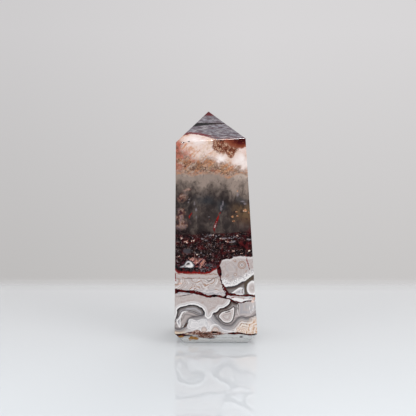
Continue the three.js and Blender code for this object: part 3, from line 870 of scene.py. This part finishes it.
class Brush:
    # adds nodes to a tree, and links or sets whatever their sockets are given
    def __init__(self, tree):
        self.tree = tree

    def add(self, kind, sockets=None, **settings):
        node = self.tree.nodes.new("ShaderNode" + kind)
        for name, value in settings.items():
            setattr(node, name, value)
        for socket, value in (sockets or {}).items():
            self.give(node.inputs[socket], value)
        return node

    def give(self, socket, value):
        if isinstance(value, bpy.types.NodeSocket):
            self.tree.links.new(value, socket)
        elif isinstance(value, str):
            socket.default_value = linear(*paint[value])
        else:
            socket.default_value = value

    def math(self, operation, *values):
        return self.add("Math", dict(enumerate(values)), operation=operation).outputs[0]

    def both(self, first, second):
        return self.math("MULTIPLY", first, second)

    def away(self, value, middle):
        return self.math("ABSOLUTE", self.math("SUBTRACT", value, middle))

    def stretch(self, place, x, y, z, turn=0.0):
        # the place scaled along each axis, and turned about the second one
        sockets = {"Vector": place, "Scale": (x, y, z), "Rotation": (0.0, turn, 0.0)}
        return self.add("Mapping", sockets).outputs[0]

    def millimetres(self):
        # the place in the stone
        return self.stretch(self.add("TexCoord").outputs["Object"], 1 / mm, 1 / mm, 1 / mm)

    def field(self, name):
        return self.add("Attribute", attribute_name=name).outputs["Fac"]

    def step(self, value, start, end, low=0.0, high=1.0):
        # low before the start, high past the end, and smooth between them
        sockets = {"Value": value, "From Min": start, "From Max": end, "To Min": low, "To Max": high}
        return self.add("MapRange", sockets, interpolation_type="SMOOTHSTEP", clamp=False).outputs["Result"]

    def band(self, value, start, end, soft):
        rise = self.step(value, start - soft, start + soft)
        return self.both(rise, self.step(value, end + soft, end - soft))

    def noise(self, vector, size, detail=2.0, roughness=0.5, distortion=0.0):
        # 0 to 1, with patches of this size in millimetres
        sockets = {"Vector": vector, "Scale": 1.0 / size, "Detail": detail, "Roughness": roughness,
                   "Distortion": distortion}
        return self.add("TexNoise", sockets).outputs[0]

    def shift(self, value, by, amount):
        # the value moved to and fro by a noise
        return self.math("MULTIPLY_ADD", self.math("SUBTRACT", by, 0.5), amount, value)

    def profile(self, value, name):
        # a ramp's colour for each value, smooth between its stops
        stops = ramps[name]
        first, last = stops[0][0], stops[-1][0]
        sockets = {"Value": value, "From Min": first, "From Max": last}
        share = self.add("MapRange", sockets, clamp=False).outputs["Result"]
        node = self.add("ValToRGB", {"Fac": share})
        elements = node.color_ramp.elements
        for k, (at, colour) in enumerate(stops):
            element = elements[k] if k in (0, 1) else elements.new(1.0)
            element.position = (at - first) / (last - first)
            element.color = linear(*paint[colour])
        return node.outputs["Color"]

    def over(self, base, colour, mask):
        node = self.add("Mix", {0: mask, 6: base, 7: colour}, data_type="RGBA")
        return node.outputs[2]

    def lay(self, base, colour, value, start, end, most=1.0, least=0.0):
        # the colour over the base, least of it before the start and most past the end
        return self.over(base, colour, self.step(value, start, end, least, most))

    def group(self, tree, **sockets):
        node = self.tree.nodes.new("ShaderNodeGroup")
        node.node_tree = tree
        for name, value in sockets.items():
            self.give(node.inputs[name], value)
        return node.outputs


def newGroup(name, inputs, outputs):
    tree = bpy.data.node_groups.new(name, "ShaderNodeTree")
    for socket, kind in inputs.items():
        tree.interface.new_socket(socket, in_out="INPUT", socket_type="NodeSocket" + kind)
    for socket, kind in outputs.items():
        tree.interface.new_socket(socket, in_out="OUTPUT", socket_type="NodeSocket" + kind)
    given = tree.nodes.new("NodeGroupInput").outputs
    return tree, Brush(tree), given, tree.nodes.new("NodeGroupOutput").inputs


def agateBandsGroup():
    # fine irregular bands that follow a depth, as agate grows
    inputs = {"Depth": "Float", "Pitch": "Float", "Waviness": "Float", "Seed": "Float"}
    tree, brush, given, out = newGroup("agateBands", inputs, {"Bands": "Float"})
    wave = brush.noise(brush.millimetres(), 1.3, detail=1.0)
    depth = brush.math("MULTIPLY_ADD", wave, given["Waviness"], given["Depth"])
    along = brush.math("ADD", brush.math("DIVIDE", depth, given["Pitch"]), given["Seed"])
    sockets = {"W": along, "Scale": 1.0, "Detail": 2.0, "Roughness": 0.6}
    bands = brush.add("TexNoise", sockets, noise_dimensions="1D")
    brush.give(out["Bands"], brush.step(bands.outputs[0], 0.3, 0.7))
    return tree


def granulesGroup():
    # a share of rounded grains of one size, each with its own shade
    inputs = {"Size": "Float", "Share": "Float"}
    tree, brush, given, out = newGroup("granules", inputs, {"Mask": "Float", "Shade": "Float"})
    scale = brush.math("DIVIDE", 1.0, given["Size"])
    cells = brush.add("TexVoronoi", {"Vector": brush.millimetres(), "Scale": scale, "Randomness": 1.0})
    colour = brush.add("SeparateColor", {"Color": cells.outputs["Color"]}).outputs
    chosen = brush.math("LESS_THAN", colour[0], given["Share"])
    near = brush.step(cells.outputs["Distance"], 0.55, 0.3)
    brush.give(out["Mask"], brush.both(chosen, near))
    brush.give(out["Shade"], colour[1])
    return tree


def threadsGroup():
    # fine winding threads
    inputs = {"Stretch": "Vector", "Size": "Float", "Width": "Float"}
    tree, brush, given, out = newGroup("threads", inputs, {"Mask": "Float"})
    scale = brush.math("DIVIDE", 1.0, given["Size"])
    place = brush.add("Mapping", {"Vector": brush.millimetres(), "Scale": given["Stretch"]}).outputs[0]
    sockets = {"Vector": place, "Scale": scale, "Detail": 2.0, "Roughness": 0.6, "Distortion": 0.8}
    field = brush.add("TexNoise", sockets).outputs[0]
    brush.give(out["Mask"], brush.step(brush.away(field, 0.5), given["Width"], 0.0))
    return tree


def curlsGroup():
    # bands that ring many small centres, as crazy lace does
    inputs = {"Size": "Float", "Pitch": "Float", "Seed": "Float"}
    tree, brush, given, out = newGroup("curls", inputs, {"Bands": "Float"})
    scale = brush.math("DIVIDE", 1.0, given["Size"])
    sockets = {"Vector": brush.millimetres(), "Scale": scale, "Smoothness": 0.35}
    cells = brush.add("TexVoronoi", sockets, feature="SMOOTH_F1")
    depth = brush.both(cells.outputs["Distance"], given["Size"])
    bands = brush.group(agateBands, Depth=depth, Pitch=given["Pitch"], Waviness=0.7, Seed=given["Seed"])
    brush.give(out["Bands"], bands["Bands"])
    return tree


agateBands = agateBandsGroup()
granules = granulesGroup()
threads = threadsGroup()
curls = curlsGroup()
print("shader groups made")


class StoneBrush(Brush):
    # a brush that also knows the place in the stone and in its drawing, and the two noises that
    # most edges wander with
    def __init__(self, tree):
        super().__init__(tree)
        self.place = self.millimetres()
        self.across = self.field("across")
        self.up = self.field("up")
        self.grain = self.noise(self.place, 0.5)
        self.coarse = self.noise(self.place, 1.6, detail=3.0)

    def edge(self, name, grain=0.0, coarse=0.0):
        # a stored distance that wanders with the two noises, by so many millimetres or shares
        value = self.field(name)
        if grain:
            value = self.shift(value, self.grain, grain)
        if coarse:
            value = self.shift(value, self.coarse, coarse)
        return value

    def bands(self, depth, pitch, waviness, seed):
        return self.group(agateBands, Depth=depth, Pitch=pitch, Waviness=waviness, Seed=seed)["Bands"]

    def curls(self, size, pitch, seed):
        return self.group(curls, Size=size, Pitch=pitch, Seed=seed)["Bands"]

    def threads(self, x, y, z, size, width):
        return self.group(threads, Stretch=(x, y, z), Size=size, Width=width)["Mask"]


# In what follows, numbers beside a distance are millimetres, and the last one or two of a call
# of lay or step are shares of the colour.
def paintRooms(stone, wall, foot):
    # the grey rooms under the lace wall: a black rim, then bands of grey and taupe
    below = stone.both(wall, -1.0)
    left = stone.profile(below, "leftRooms")
    colour = stone.lay(left, stone.profile(below, "rightRooms"), stone.across, -2.5, 1.0)
    bands = stone.bands(below, 0.45, 0.4, 3.0)
    faint = stone.step(below, 0.6, 1.2, 0.0, 0.25)
    colour = stone.over(colour, "milk", stone.both(bands, faint))
    colour = stone.over(colour, "umber", stone.both(stone.step(bands, 0.3, 0.0), faint))

    hook = stone.edge("hook", 0.2)
    lines = stone.bands(hook, 0.4, 0.5, 8.0)
    lined = stone.both(lines, stone.step(hook, 0.6, 1.0, 0.0, 0.45))
    inHook = stone.over(stone.profile(hook, "hook"), "pinkGrey", lined)
    colour = stone.lay(colour, inHook, hook, -0.05, 0.03)

    wedge = stone.edge("wedge", 0.45)
    colour = stone.lay(colour, stone.profile(wedge, "wedge"), wedge, -0.1, 0.04)

    kernel = stone.edge("kernel", 0.22)
    curled = stone.both(stone.curls(1.6, 0.4, 4.0), stone.step(kernel, 0.3, 0.5, 0.0, 0.8))
    inKernel = stone.over(stone.profile(kernel, "kernel"), "pinkGrey", curled)
    colour = stone.over(colour, inKernel, stone.band(kernel, -0.6, 9.0, 0.12))

    room = stone.edge("blueRoom", 0.2)
    veils = stone.bands(stone.across, 0.9, 1.0, 7.0)
    veiled = stone.both(veils, stone.step(stone.across, 9.5, 12.5, 0.1, 0.75))
    inRoom = stone.over(stone.profile(room, "blueRoom"), "milk", veiled)
    colour = stone.lay(colour, inRoom, room, -0.15, 0.1)

    rim = stone.step(foot, 0.9, 0.0, 0.0, 0.8)
    return stone.over(colour, "slate", stone.both(rim, stone.step(room, 0.6, 0.0, 0.4, 1.0)))


def paintFootLace(stone, foot):
    # below the rooms: milky lobes on the left, cream and peach arcs on the right
    below = stone.both(foot, -1.0)
    bands = stone.bands(below, 0.45, 0.9, 9.0)
    colour = stone.over(stone.profile(below, "milkyFoot"), "milk", stone.both(bands, 0.5))

    warmth = stone.both(stone.step(stone.across, 3.0, 8.5), stone.step(below, 0.4, 2.0))
    colour = stone.over(colour, stone.profile(bands, "creamArcs"), stone.both(warmth, 0.85))
    cream = stone.both(stone.step(stone.across, -9.0, -12.5), stone.step(below, 0.5, 1.2))
    colour = stone.over(colour, stone.profile(below, "creamStripe"), stone.both(cream, 0.9))

    lobe = stone.edge("lobe", 0.4)
    folds = stone.bands(lobe, 0.55, 1.8, 5.0)
    colour = stone.lay(colour, stone.over("white", "bluish", stone.both(folds, 0.55)), lobe, -0.06, 0.06)
    dome = stone.edge("domes", 0.25, 0.6)
    colour = stone.lay(colour, stone.profile(dome, "domes"), dome, -0.04, 0.12, 0.75)

    peach = stone.edge("peachSpots", 0.2, 0.7)
    ringsPerSpot = 24.0
    arcs = stone.profile(stone.math("SINE", stone.both(peach, ringsPerSpot)), "peachArcs")
    arcs = stone.lay(arcs, "peach", stone.grain, 0.48, 0.6, 0.7)
    return stone.lay(colour, arcs, peach, 0.0, 0.3, 0.85)


def paintLightLace(stone, wall):
    # above the wall: a white rim, then pinkish grey with faint bands and beige curls
    curled = stone.curls(4.5, 0.55, 2.0)
    bands = stone.bands(wall, 0.6, 2.4, 1.0)
    patchy = stone.both(stone.step(wall, 0.6, 1.4, 0.0, 0.6), stone.step(stone.coarse, 0.35, 0.65, 0.4, 1.0))
    colour = stone.over(stone.profile(wall, "laceRim"), "milk", stone.both(bands, patchy))
    warm = stone.both(stone.step(stone.coarse, 0.45, 0.62), stone.step(wall, 0.9, 1.5, 0.0, 0.45))
    colour = stone.over(colour, "beige", stone.both(warm, stone.step(curled, 0.9, 0.3)))

    # over the long seam: curls, a calmer band along the top, a paler one along the bottom
    upper = stone.profile(curled, "laceCurls")
    upper = stone.lay(upper, "pinkGrey", stone.coarse, 0.54, 0.42, 0.6, 0.05)
    line = stone.bands(stone.up, 0.5, 1.5, 6.0)
    calm = stone.band(stone.shift(stone.up, stone.coarse, 1.5), 22.4, 27.0, 0.25)
    upper = stone.over(upper, stone.profile(line, "calmLace"), calm)
    low = stone.shift(stone.up, stone.coarse, 3.0)
    upper = stone.lay(upper, stone.over("milk", "bluish", line), low, 19.2, 18.0, 0.85)
    colour = stone.lay(colour, upper, stone.up, 16.8, 17.2)

    orbs = stone.edge("lightOrbs", 0.3)
    return stone.lay(colour, stone.profile(orbs, "lightOrbs"), orbs, -0.02, 0.1, 0.75)


def paintBlock(stone, colour):
    # the tilted block at the right: cloudy white along its lower edge, mottled pinkish grey above
    block = stone.edge("block", 0.25)
    low = stone.both(stone.field("shade"), -1.0)
    inBlock = stone.profile(stone.curls(3.2, 0.6, 7.0), "blockCurls")
    inBlock = stone.lay(inBlock, "pinkGrey", stone.coarse, 0.5, 0.4, 0.5, 0.1)
    inBlock = stone.lay(inBlock, "bluish", stone.coarse, 0.56, 0.7, 0.6)
    cloudy = stone.profile(stone.grain, "cloudyWhite")
    inBlock = stone.lay(inBlock, cloudy, stone.shift(low, stone.coarse, 3.2), 2.7, 1.3)
    inBlock = stone.lay(inBlock, "white", stone.shift(low, stone.coarse, 1.0), 0.9, 0.6, 0.8)
    thin = stone.band(stone.shift(low, stone.grain, 0.4), 1.35, 1.45, 0.07)
    inBlock = stone.over(inBlock, "bluish", stone.both(thin, 0.7))
    inBlock = stone.lay(inBlock, "milk", stone.edge("laceTop", coarse=1.6), -1.1, -0.3, 0.8)
    orbs = stone.edge("blockOrbs", 0.08)
    inBlock = stone.lay(inBlock, stone.profile(orbs, "blockOrbs"), orbs, 0.0, 0.1)
    inBlock = stone.lay(inBlock, "rim", stone.shift(low, stone.grain, 0.3), 0.28, 0.08)
    colour = stone.lay(colour, inBlock, block, -0.06, 0.03)

    # the shade under it, with its pale core and a big orb
    shade = stone.edge("shade", 0.2)
    colour = stone.lay(colour, stone.profile(shade, "shade"), shade, -0.04, 0.04)
    core = stone.edge("shadeCore", 0.2)
    colour = stone.lay(colour, stone.profile(core, "shadeCore"), core, -0.22, -0.1)
    orb = stone.edge("shadeOrbs", 0.1)
    return stone.lay(colour, stone.profile(orb, "shadeOrbs"), orb, -0.02, 0.04)


def paintFringe(stone, foot):
    # the dark layer on the left, with a flame and an eye in it, and a scarlet fringe under it
    fine = stone.noise(stone.place, 0.8, detail=3.0, roughness=0.65)
    red = stone.shift(stone.field("redSpots"), fine, 1.4)
    colour = stone.lay(stone.profile(fine, "fringeLayer"), "maroon", red, -0.3, 0.2, 0.85)
    colour = stone.lay(colour, "crimson", red, 0.2, 0.7, 0.8)
    colour = stone.lay(colour, "slate", stone.edge("greySpots", coarse=1.2), 0.0, 0.5, 0.9)

    slanting = stone.stretch(stone.place, 1.0, 1.0, 1.0, 0.73)
    strokes = stone.noise(stone.stretch(slanting, 0.3, 0.3, 1.4), 0.7, distortion=0.3)
    flames = stone.shift(stone.edge("flames", coarse=1.6), fine, 1.6)
    colour = stone.lay(colour, stone.profile(strokes, "flames"), flames, -0.1, 0.3, 0.95)

    eye = stone.edge("eyes", 0.25, 0.35)
    colour = stone.lay(colour, stone.profile(eye, "eyes"), eye, -0.3, -0.1)
    slit = stone.edge("slits", 0.7, 0.8)
    colour = stone.lay(colour, "slate", slit, -0.5, 0.1, 0.6)
    colour = stone.lay(colour, "ink", slit, 0.1, 0.6, 0.9)

    specks = stone.threads(1.2, 1.2, 0.8, 1.0, 0.06)
    inBand = stone.over("ink", "ash", stone.both(specks, stone.step(stone.across, -9.0, -5.0, 0.15, 0.9)))
    inBand = stone.lay(inBand, "maroon", fine, 0.52, 0.64, 0.9)
    blackBand = stone.step(stone.shift(foot, stone.coarse, 0.8), 2.1, 1.6)
    colour = stone.over(colour, inBand, stone.both(blackBand, stone.step(stone.across, 0.2, -2.2)))
    hairs = stone.noise(stone.stretch(stone.place, 2.6, 2.6, 0.9), 1.0)
    fringe = stone.shift(stone.shift(foot, hairs, 1.5), fine, 1.2)
    fringed = stone.both(stone.step(fringe, 0.9, 0.45), stone.step(stone.across, 1.2, -0.6, 0.25, 1.0))
    return stone.over(colour, stone.profile(fringe, "fringe"), fringed)


def paintJasper(stone):
    # broken dark jasper, tangled with short pale threads and shards
    fine = stone.noise(stone.place, 0.7)
    chance = stone.noise(stone.place, 1.5)
    tint = stone.profile(stone.noise(stone.place, 1.1), "jasperThreads")
    thick = stone.both(stone.threads(0.8, 0.8, 1.3, 1.5, 0.035), stone.step(chance, 0.45, 0.6, 0.0, 0.85))
    colour = stone.over(stone.profile(stone.coarse, "jasper"), tint, thick)
    thin = stone.both(stone.threads(0.8, 0.8, 1.3, 0.9, 0.035), stone.step(chance, 0.5, 0.38, 0.0, 0.55))
    colour = stone.over(colour, tint, thin)
    colour = stone.lay(colour, "ink", chance, 0.5, 0.56, 0.35)
    flecks = stone.both(stone.step(fine, 0.6, 0.68), stone.step(stone.grain, 0.48, 0.56, 0.0, 0.8))
    colour = stone.over(colour, "ash", flecks)
    maroonRoom = stone.band(stone.up, 32.2, 35.0, 0.4)
    maroonRoom = stone.both(stone.step(stone.across, 4.0, 8.0, 0.0, 0.85), maroonRoom)
    colour = stone.over(colour, stone.profile(stone.coarse, "maroonRoom"), maroonRoom)
    layers = stone.noise(stone.stretch(stone.place, 0.35, 0.35, 2.2), 1.0)
    topBand = stone.both(stone.step(stone.up, 36.0, 37.4), stone.step(layers, 0.5, 0.62, 0.0, 0.5))
    colour = stone.over(colour, "maroon", topBand)
    colour = stone.lay(colour, "slate", stone.edge("greySpots", coarse=1.4), 0.1, 0.7, 0.9)
    shards = stone.shift(stone.edge("creamSpots", coarse=1.6), fine, 3.4)
    colour = stone.lay(colour, stone.profile(stone.grain, "creamShards"), shards, 0.1, 0.4, 0.95)
    seam = stone.shift(stone.edge("paleSeams", coarse=0.9), fine, 0.6)
    broken = stone.both(stone.step(seam, 0.1, -0.1), stone.step(chance, 0.42, 0.52, 0.0, 0.8))
    return stone.over(colour, "ash", broken)


def paintSmoke(stone):
    # smoky translucent quartz: pale under the rust, nearly black below, with feathery plumes
    plume = stone.noise(stone.stretch(stone.place, 1.0, 1.0, 0.7), 2.6, 3.0, 0.5, 0.6)
    fine = stone.noise(stone.stretch(stone.place, 1.0, 1.0, 0.6), 0.9, 3.0, 0.6, 0.3)
    broad = stone.noise(stone.place, 4.5, detail=3.0)
    level = stone.shift(stone.shift(stone.shift(stone.up, plume, 5.0), broad, 7.0), fine, 3.0)
    level = stone.math("ADD", level, stone.step(stone.across, 0.0, 12.0, 0.0, 3.5))
    colour = stone.profile(level, "smoke")
    cloud = stone.noise(stone.stretch(stone.place, 1.0, 1.0, 0.75), 2.6, 5.0, 0.6, 0.5)
    lit = stone.both(stone.step(cloud, 0.44, 0.72), stone.step(stone.up, 57.0, 46.0, 0.6, 0.25))
    colour = stone.over(colour, "smoke", lit)
    dim = stone.both(stone.step(cloud, 0.5, 0.32), stone.step(stone.up, 57.0, 51.0, 0.1, 0.8))
    colour = stone.over(colour, "night", dim)
    cold = stone.shift(stone.field("coldSpots"), broad, 2.4)
    colour = stone.lay(colour, "slateBlue", cold, -0.3, 1.0, 0.5)
    colour = stone.lay(colour, "gloom", fine, 0.45, 0.3, 0.4)

    # an olive glow with golden glints at the right, and maroon below it
    warm = stone.shift(stone.away(stone.across, 10.5), plume, 6.0)
    olive = stone.both(stone.step(warm, 7.0, 1.0), stone.band(stone.up, 41.5, 47.0, 2.0))
    colour = stone.over(colour, "olive", stone.both(olive, stone.step(fine, 0.36, 0.56, 0.3, 0.95)))
    red = stone.both(stone.step(stone.across, 5.0, 12.0), stone.step(stone.up, 44.0, 39.5))
    colour = stone.over(colour, "maroon", stone.both(red, stone.step(plume, 0.4, 0.6, 0.1, 0.7)))
    pinkCloud = stone.noise(stone.place, 1.6, detail=3.0)
    pink = stone.shift(stone.shift(stone.field("pinkSpots"), fine, 1.0), pinkCloud, 1.6)
    colour = stone.lay(colour, stone.profile(pinkCloud, "pinkClouds"), pink, -0.5, 0.9, 0.8)
    pale = stone.shift(stone.edge("paleSpots", 0.9), pinkCloud, 1.6)
    colour = stone.lay(colour, "ash", pale, -0.4, 0.9, 0.8)
    glint = stone.profile(stone.grain, "glints")
    return stone.lay(colour, glint, stone.edge("goldSpots", 1.0), 0.0, 0.35, 0.9)


def paintRust(stone, foot):
    # chalky pink and white, stained with rust: streaks, a salmon patch, white clouds
    broad = stone.noise(stone.place, 3.6, 5.0, 0.6, 0.4)
    fine = stone.noise(stone.place, 1.0, 5.0, 0.75)
    slanting = stone.stretch(stone.place, 1.0, 1.0, 1.0, 0.8)
    drift = stone.noise(stone.stretch(slanting, 0.5, 0.7, 1.1), 1.7, 5.0, 0.65, 0.8)
    colour = stone.lay(stone.profile(broad, "chalkyPink"), "orange", drift, 0.47, 0.66, 0.85)
    colour = stone.lay(colour, "coral", drift, 0.58, 0.7, 0.5)
    colour = stone.lay(colour, "sand", fine, 0.5, 0.66, 0.7)
    salmon = stone.shift(stone.shift(stone.field("salmonSpots"), broad, 2.0), fine, 1.2)
    colour = stone.lay(colour, stone.profile(fine, "salmonPatch"), salmon, -0.3, 0.7, 0.95)
    white = stone.shift(stone.field("whiteSpots"), broad, 2.0)
    colour = stone.lay(colour, "pinkWhite", white, -0.1, 0.6, 0.85)
    colour = stone.lay(colour, "chalk", white, 0.2, 1.3, 0.7)

    # a band of stains and dark grains lies along its foot
    patchy = stone.noise(stone.stretch(stone.place, 0.8, 0.8, 1.2), 2.2, 4.0, 0.6, 0.8)
    ground = stone.profile(patchy, "stainedGround")
    stained = stone.noise(stone.place, 1.6, detail=3.0)
    ground = stone.lay(ground, stone.profile(fine, "stains"), stained, 0.4, 0.56, 0.9, 0.2)
    ground = stone.lay(ground, "umber", patchy, 0.47, 0.38, 0.6)
    ground = stone.lay(ground, "orange", drift, 0.46, 0.66, 0.7)
    leftGround = stone.both(stone.step(broad, 0.48, 0.6), stone.step(stone.across, 2.0, -9.0, 0.1, 0.7))
    ground = stone.over(ground, "salmon", leftGround)
    dots = stone.noise(stone.place, 0.55, detail=1.0)
    specks = stone.both(stone.step(dots, 0.44, 0.34, 0.0, 0.9), stone.step(patchy, 0.58, 0.46, 0.25, 1.0))
    ground = stone.over(ground, "cocoa", specks)
    ground = stone.lay(ground, "pinkWhite", dots, 0.6, 0.7, 0.3)
    low = stone.shift(stone.shift(foot, broad, 12.0), fine, 5.0)
    low = stone.math("ADD", low, stone.step(stone.across, 3.0, 9.0, 0.0, 2.6))
    colour = stone.lay(colour, ground, low, 6.8, 3.4, 0.95)
    colour = stone.lay(colour, "smoke", stone.shift(foot, stone.coarse, 2.0), 1.5, 0.0, 0.6)

    # the granular brown patch, and the maroon that runs along the shoulder into the edge
    brown = stone.shift(stone.edge("brownSpots", coarse=0.5), fine, 0.9)
    grains = stone.group(granules, Size=0.7, Share=0.55)
    grainColour = stone.profile(grains["Shade"], "brownGrains")
    inBrown = stone.over(stone.profile(fine, "brownPatch"), grainColour, stone.both(grains["Mask"], 0.8))
    colour = stone.lay(colour, inBrown, brown, -0.12, 0.12)
    top = stone.shift(stone.shift(stone.field("maroonSpots"), fine, 0.8), broad, 0.8)
    inTop = stone.lay(stone.profile(top, "shoulderMaroon"), "rust", fine, 0.52, 0.64, 0.8)
    colour = stone.lay(colour, inTop, top, -0.15, 0.15)
    edge = stone.shift(stone.shift(foot, stone.coarse, 1.6), fine, 1.4)
    line = stone.both(stone.band(edge, -0.2, 0.25, 0.35), stone.step(broad, 0.5, 0.57, 0.15, 0.9))
    return stone.over(colour, "orange", line)


def paintCrown(stone, foot):
    # thin streaks of silver, mauve and plum, a dark seam, a red tip and a maroon foot
    dipping = stone.stretch(stone.place, 1.0, 1.0, 1.0, -0.05)
    layered = stone.stretch(dipping, 0.5, 0.25, 3.0)
    streaks = stone.noise(layered, 1.0, 4.0, 0.75, 0.2)
    hue = stone.noise(layered, 2.0, detail=1.0)
    dark = stone.lay("capMauve", "plum", hue, 0.4, 0.6, 0.8)
    light = stone.lay("capSilver", "pinkGrey", hue, 0.45, 0.65, 0.6)
    colour = stone.lay(dark, "capAsh", streaks, 0.38, 0.48)
    colour = stone.lay(colour, light, streaks, 0.48, 0.64, 0.9)
    colour = stone.lay(colour, "rim", streaks, 0.41, 0.3, 0.85)

    # the seam rises to the right and is thickest at the left
    seamRise, seamHeight = 0.06, 73.8
    rise = stone.math("MULTIPLY_ADD", stone.across, -seamRise, stone.up)
    seam = stone.away(stone.shift(rise, stone.grain, 0.3), seamHeight)
    seam = stone.math("SUBTRACT", seam, stone.step(stone.across, 3.0, -8.0, 0.1, 0.42))
    inSeam = stone.lay("ink", "wine", stone.shift(stone.across, stone.grain, 3.0), -4.0, 3.0, 0.8)
    colour = stone.lay(colour, inSeam, seam, 0.18, 0.0)
    colour = stone.lay(colour, "tip", stone.shift(rise, streaks, 2.4), 76.1, 76.9)
    stained = stone.step(stone.shift(foot, streaks, 1.6), 1.1, 0.3)
    stained = stone.both(stained, stone.step(stone.across, 3.0, -5.0, 0.15, 0.85))
    return stone.over(colour, "crimson", stained)


def paintFoot(stone, foot):
    # the bevel under the foot seam: glassy grey agate, with mauve, ochre and bronze on the left
    below = stone.both(foot, -1.0)
    bands = stone.bands(stone.shift(below, stone.coarse, 1.6), 0.6, 0.8, 2.0)
    colour = stone.profile(bands, "glass")
    left = stone.step(stone.shift(stone.across, stone.coarse, 6.0), 0.0, -6.0)
    mauve = stone.noise(stone.stretch(stone.place, 0.5, 0.5, 1.4), 1.2, detail=3.0)
    high = stone.step(stone.shift(below, stone.coarse, 1.6), 1.7, 0.9)
    colour = stone.over(colour, stone.profile(mauve, "mauveFoot"), stone.both(left, high))
    colour = stone.lay(colour, "ochre", stone.edge("ochreSpots", coarse=3.0), -0.1, 0.4)
    colour = stone.lay(colour, "slate", stone.edge("smudgeSpots", coarse=1.4), -0.1, 0.6, 0.8)
    line = stone.profile(stone.grain, "footLine")
    return stone.lay(colour, line, stone.shift(below, stone.coarse, 0.5), 0.34, 0.1, 0.9)


def paintSeams(stone, colour):
    # the fine seams of the lace, the maroon ones that break it up, and crystals along them
    for name in ("leftLens", "rightLens"):
        colour = stone.lay(colour, "white", stone.field(name), -0.05, 0.12)
    fineSeams = (("whiteSeams", "white", 0.08), ("oliveSeams", "khaki", 0.3), ("brownSeams", "umber", 0.08))
    for name, stroke, soft in fineSeams:
        colour = stone.lay(colour, stroke, stone.edge(name, 0.14), soft, -soft)
    footSeam = stone.edge("footSeam", 0.3)
    colour = stone.lay(colour, paintFoot(stone, footSeam), footSeam, 0.05, -0.05)
    seam = stone.shift(stone.edge("maroonSeams", 0.35), stone.noise(stone.place, 1.2), 0.5)
    inSeam = stone.profile(stone.noise(stone.place, 1.4), "maroonSeams")
    inSeam = stone.lay(inSeam, "maroon", seam, -0.1, 0.06, 0.7)
    colour = stone.lay(colour, inSeam, seam, 0.14, 0.0)
    crystals = stone.profile(stone.grain, "crystals")
    colour = stone.lay(colour, crystals, stone.edge("crystalSpots", 1.0, 0.6), 0.0, 0.25)
    glow = stone.profile(stone.grain, "coralGlow")
    return stone.lay(colour, glow, stone.edge("coralSpots", coarse=1.0), 0.0, 0.5)


def paintLace(stone):
    # the banded lower third, from its foot up to the tilted block
    scallops = stone.add("TexVoronoi", {"Vector": stone.place, "Scale": 0.9}, feature="SMOOTH_F1")
    wall = stone.math("ADD", stone.field("wall"), 0.08)
    wall = stone.shift(stone.shift(wall, scallops.outputs["Distance"], 0.4), stone.grain, 0.2)
    pocketFoot = stone.edge("pocketFoot", 0.3)
    colour = paintFootLace(stone, pocketFoot)
    colour = stone.lay(colour, paintRooms(stone, wall, pocketFoot), pocketFoot, -0.05, 0.05)
    colour = stone.lay(colour, paintLightLace(stone, wall), wall, -0.05, 0.04)
    return paintSeams(stone, paintBlock(stone, colour))


def polishedLaceAgate():
    material = bpy.data.materials.new("polishedLaceAgate")
    material.use_nodes = True
    stone = StoneBrush(material.node_tree)
    shader = material.node_tree.nodes["Principled BSDF"]
    colour = paintLace(stone)
    crusted = stone.step(stone.edge("crust", 0.8, 0.8), 0.0, 0.3)
    crust = stone.profile(stone.noise(stone.place, 0.5, 3.0, 0.7), "crust")
    colour = stone.over(colour, crust, crusted)

    # the dark layers over the lace, then the smoke, the rust and the crown
    fringeFoot = stone.edge("fringeFoot", 0.3)
    aboveLace = stone.step(stone.edge("laceTop", 0.5, 0.8), -0.05, 0.1)
    dark = stone.over(paintFringe(stone, fringeFoot), paintJasper(stone), aboveLace)
    covered = stone.math("MAXIMUM", stone.step(fringeFoot, -0.3, 0.0), aboveLace)
    colour = stone.over(colour, dark, covered)
    smokeFoot = stone.edge("smokeFoot", coarse=0.7)
    rustFoot = stone.edge("rustFoot", coarse=1.0)
    crownFoot = stone.edge("crownFoot", 0.5, 0.4)
    upper = stone.lay(paintSmoke(stone), paintRust(stone, rustFoot), rustFoot, -0.5, 0.4)
    upper = stone.lay(upper, paintCrown(stone, crownFoot), crownFoot, -0.1, 0.15)
    colour = stone.lay(colour, upper, smokeFoot, -0.2, 0.3)

    # red seams across the smoke and the block, and the pits, painted ink black inside as painted shade
    redSeam = stone.edge("redSeams", 0.45, 0.5)
    inRed = stone.profile(stone.noise(stone.place, 1.2), "redSeams")
    inRed = stone.lay(inRed, "pinkGrey", redSeam, -0.24, -0.34, 0.8)
    colour = stone.lay(colour, inRed, redSeam, 0.06, -0.12)
    pitShadeMask = stone.step(stone.edge("pits", 0.8, 0.9), 0.05, 0.4)
    # the pits are painted ink black: painted shade in their hollows, which also polish duller
    stone.give(shader.inputs["Base Color"], stone.over(colour, "ink", pitShadeMask))

    inJasper = stone.both(covered, stone.step(smokeFoot, 0.3, -0.2))
    dull = stone.math("MULTIPLY_ADD", inJasper, polish["jasperAdds"], polish["roughness"])
    dull = stone.math("MAXIMUM", dull, stone.both(crusted, polish["crust"]))
    dull = stone.math("MAXIMUM", dull, stone.both(pitShadeMask, polish["pits"]))
    stone.give(shader.inputs["Roughness"], dull)
    shader.inputs["IOR"].default_value = polish["ior"]
    return material


towerMesh.materials.append(polishedLaceAgate())
tower = bpy.data.objects.new("polished_tower", towerMesh)
bpy.context.scene.collection.objects.link(tower)
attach(tower, "root")
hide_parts("agate_tower")
print("tower dressed,", sum(len(face.vertices) - 2 for face in towerMesh.polygons), "triangles")
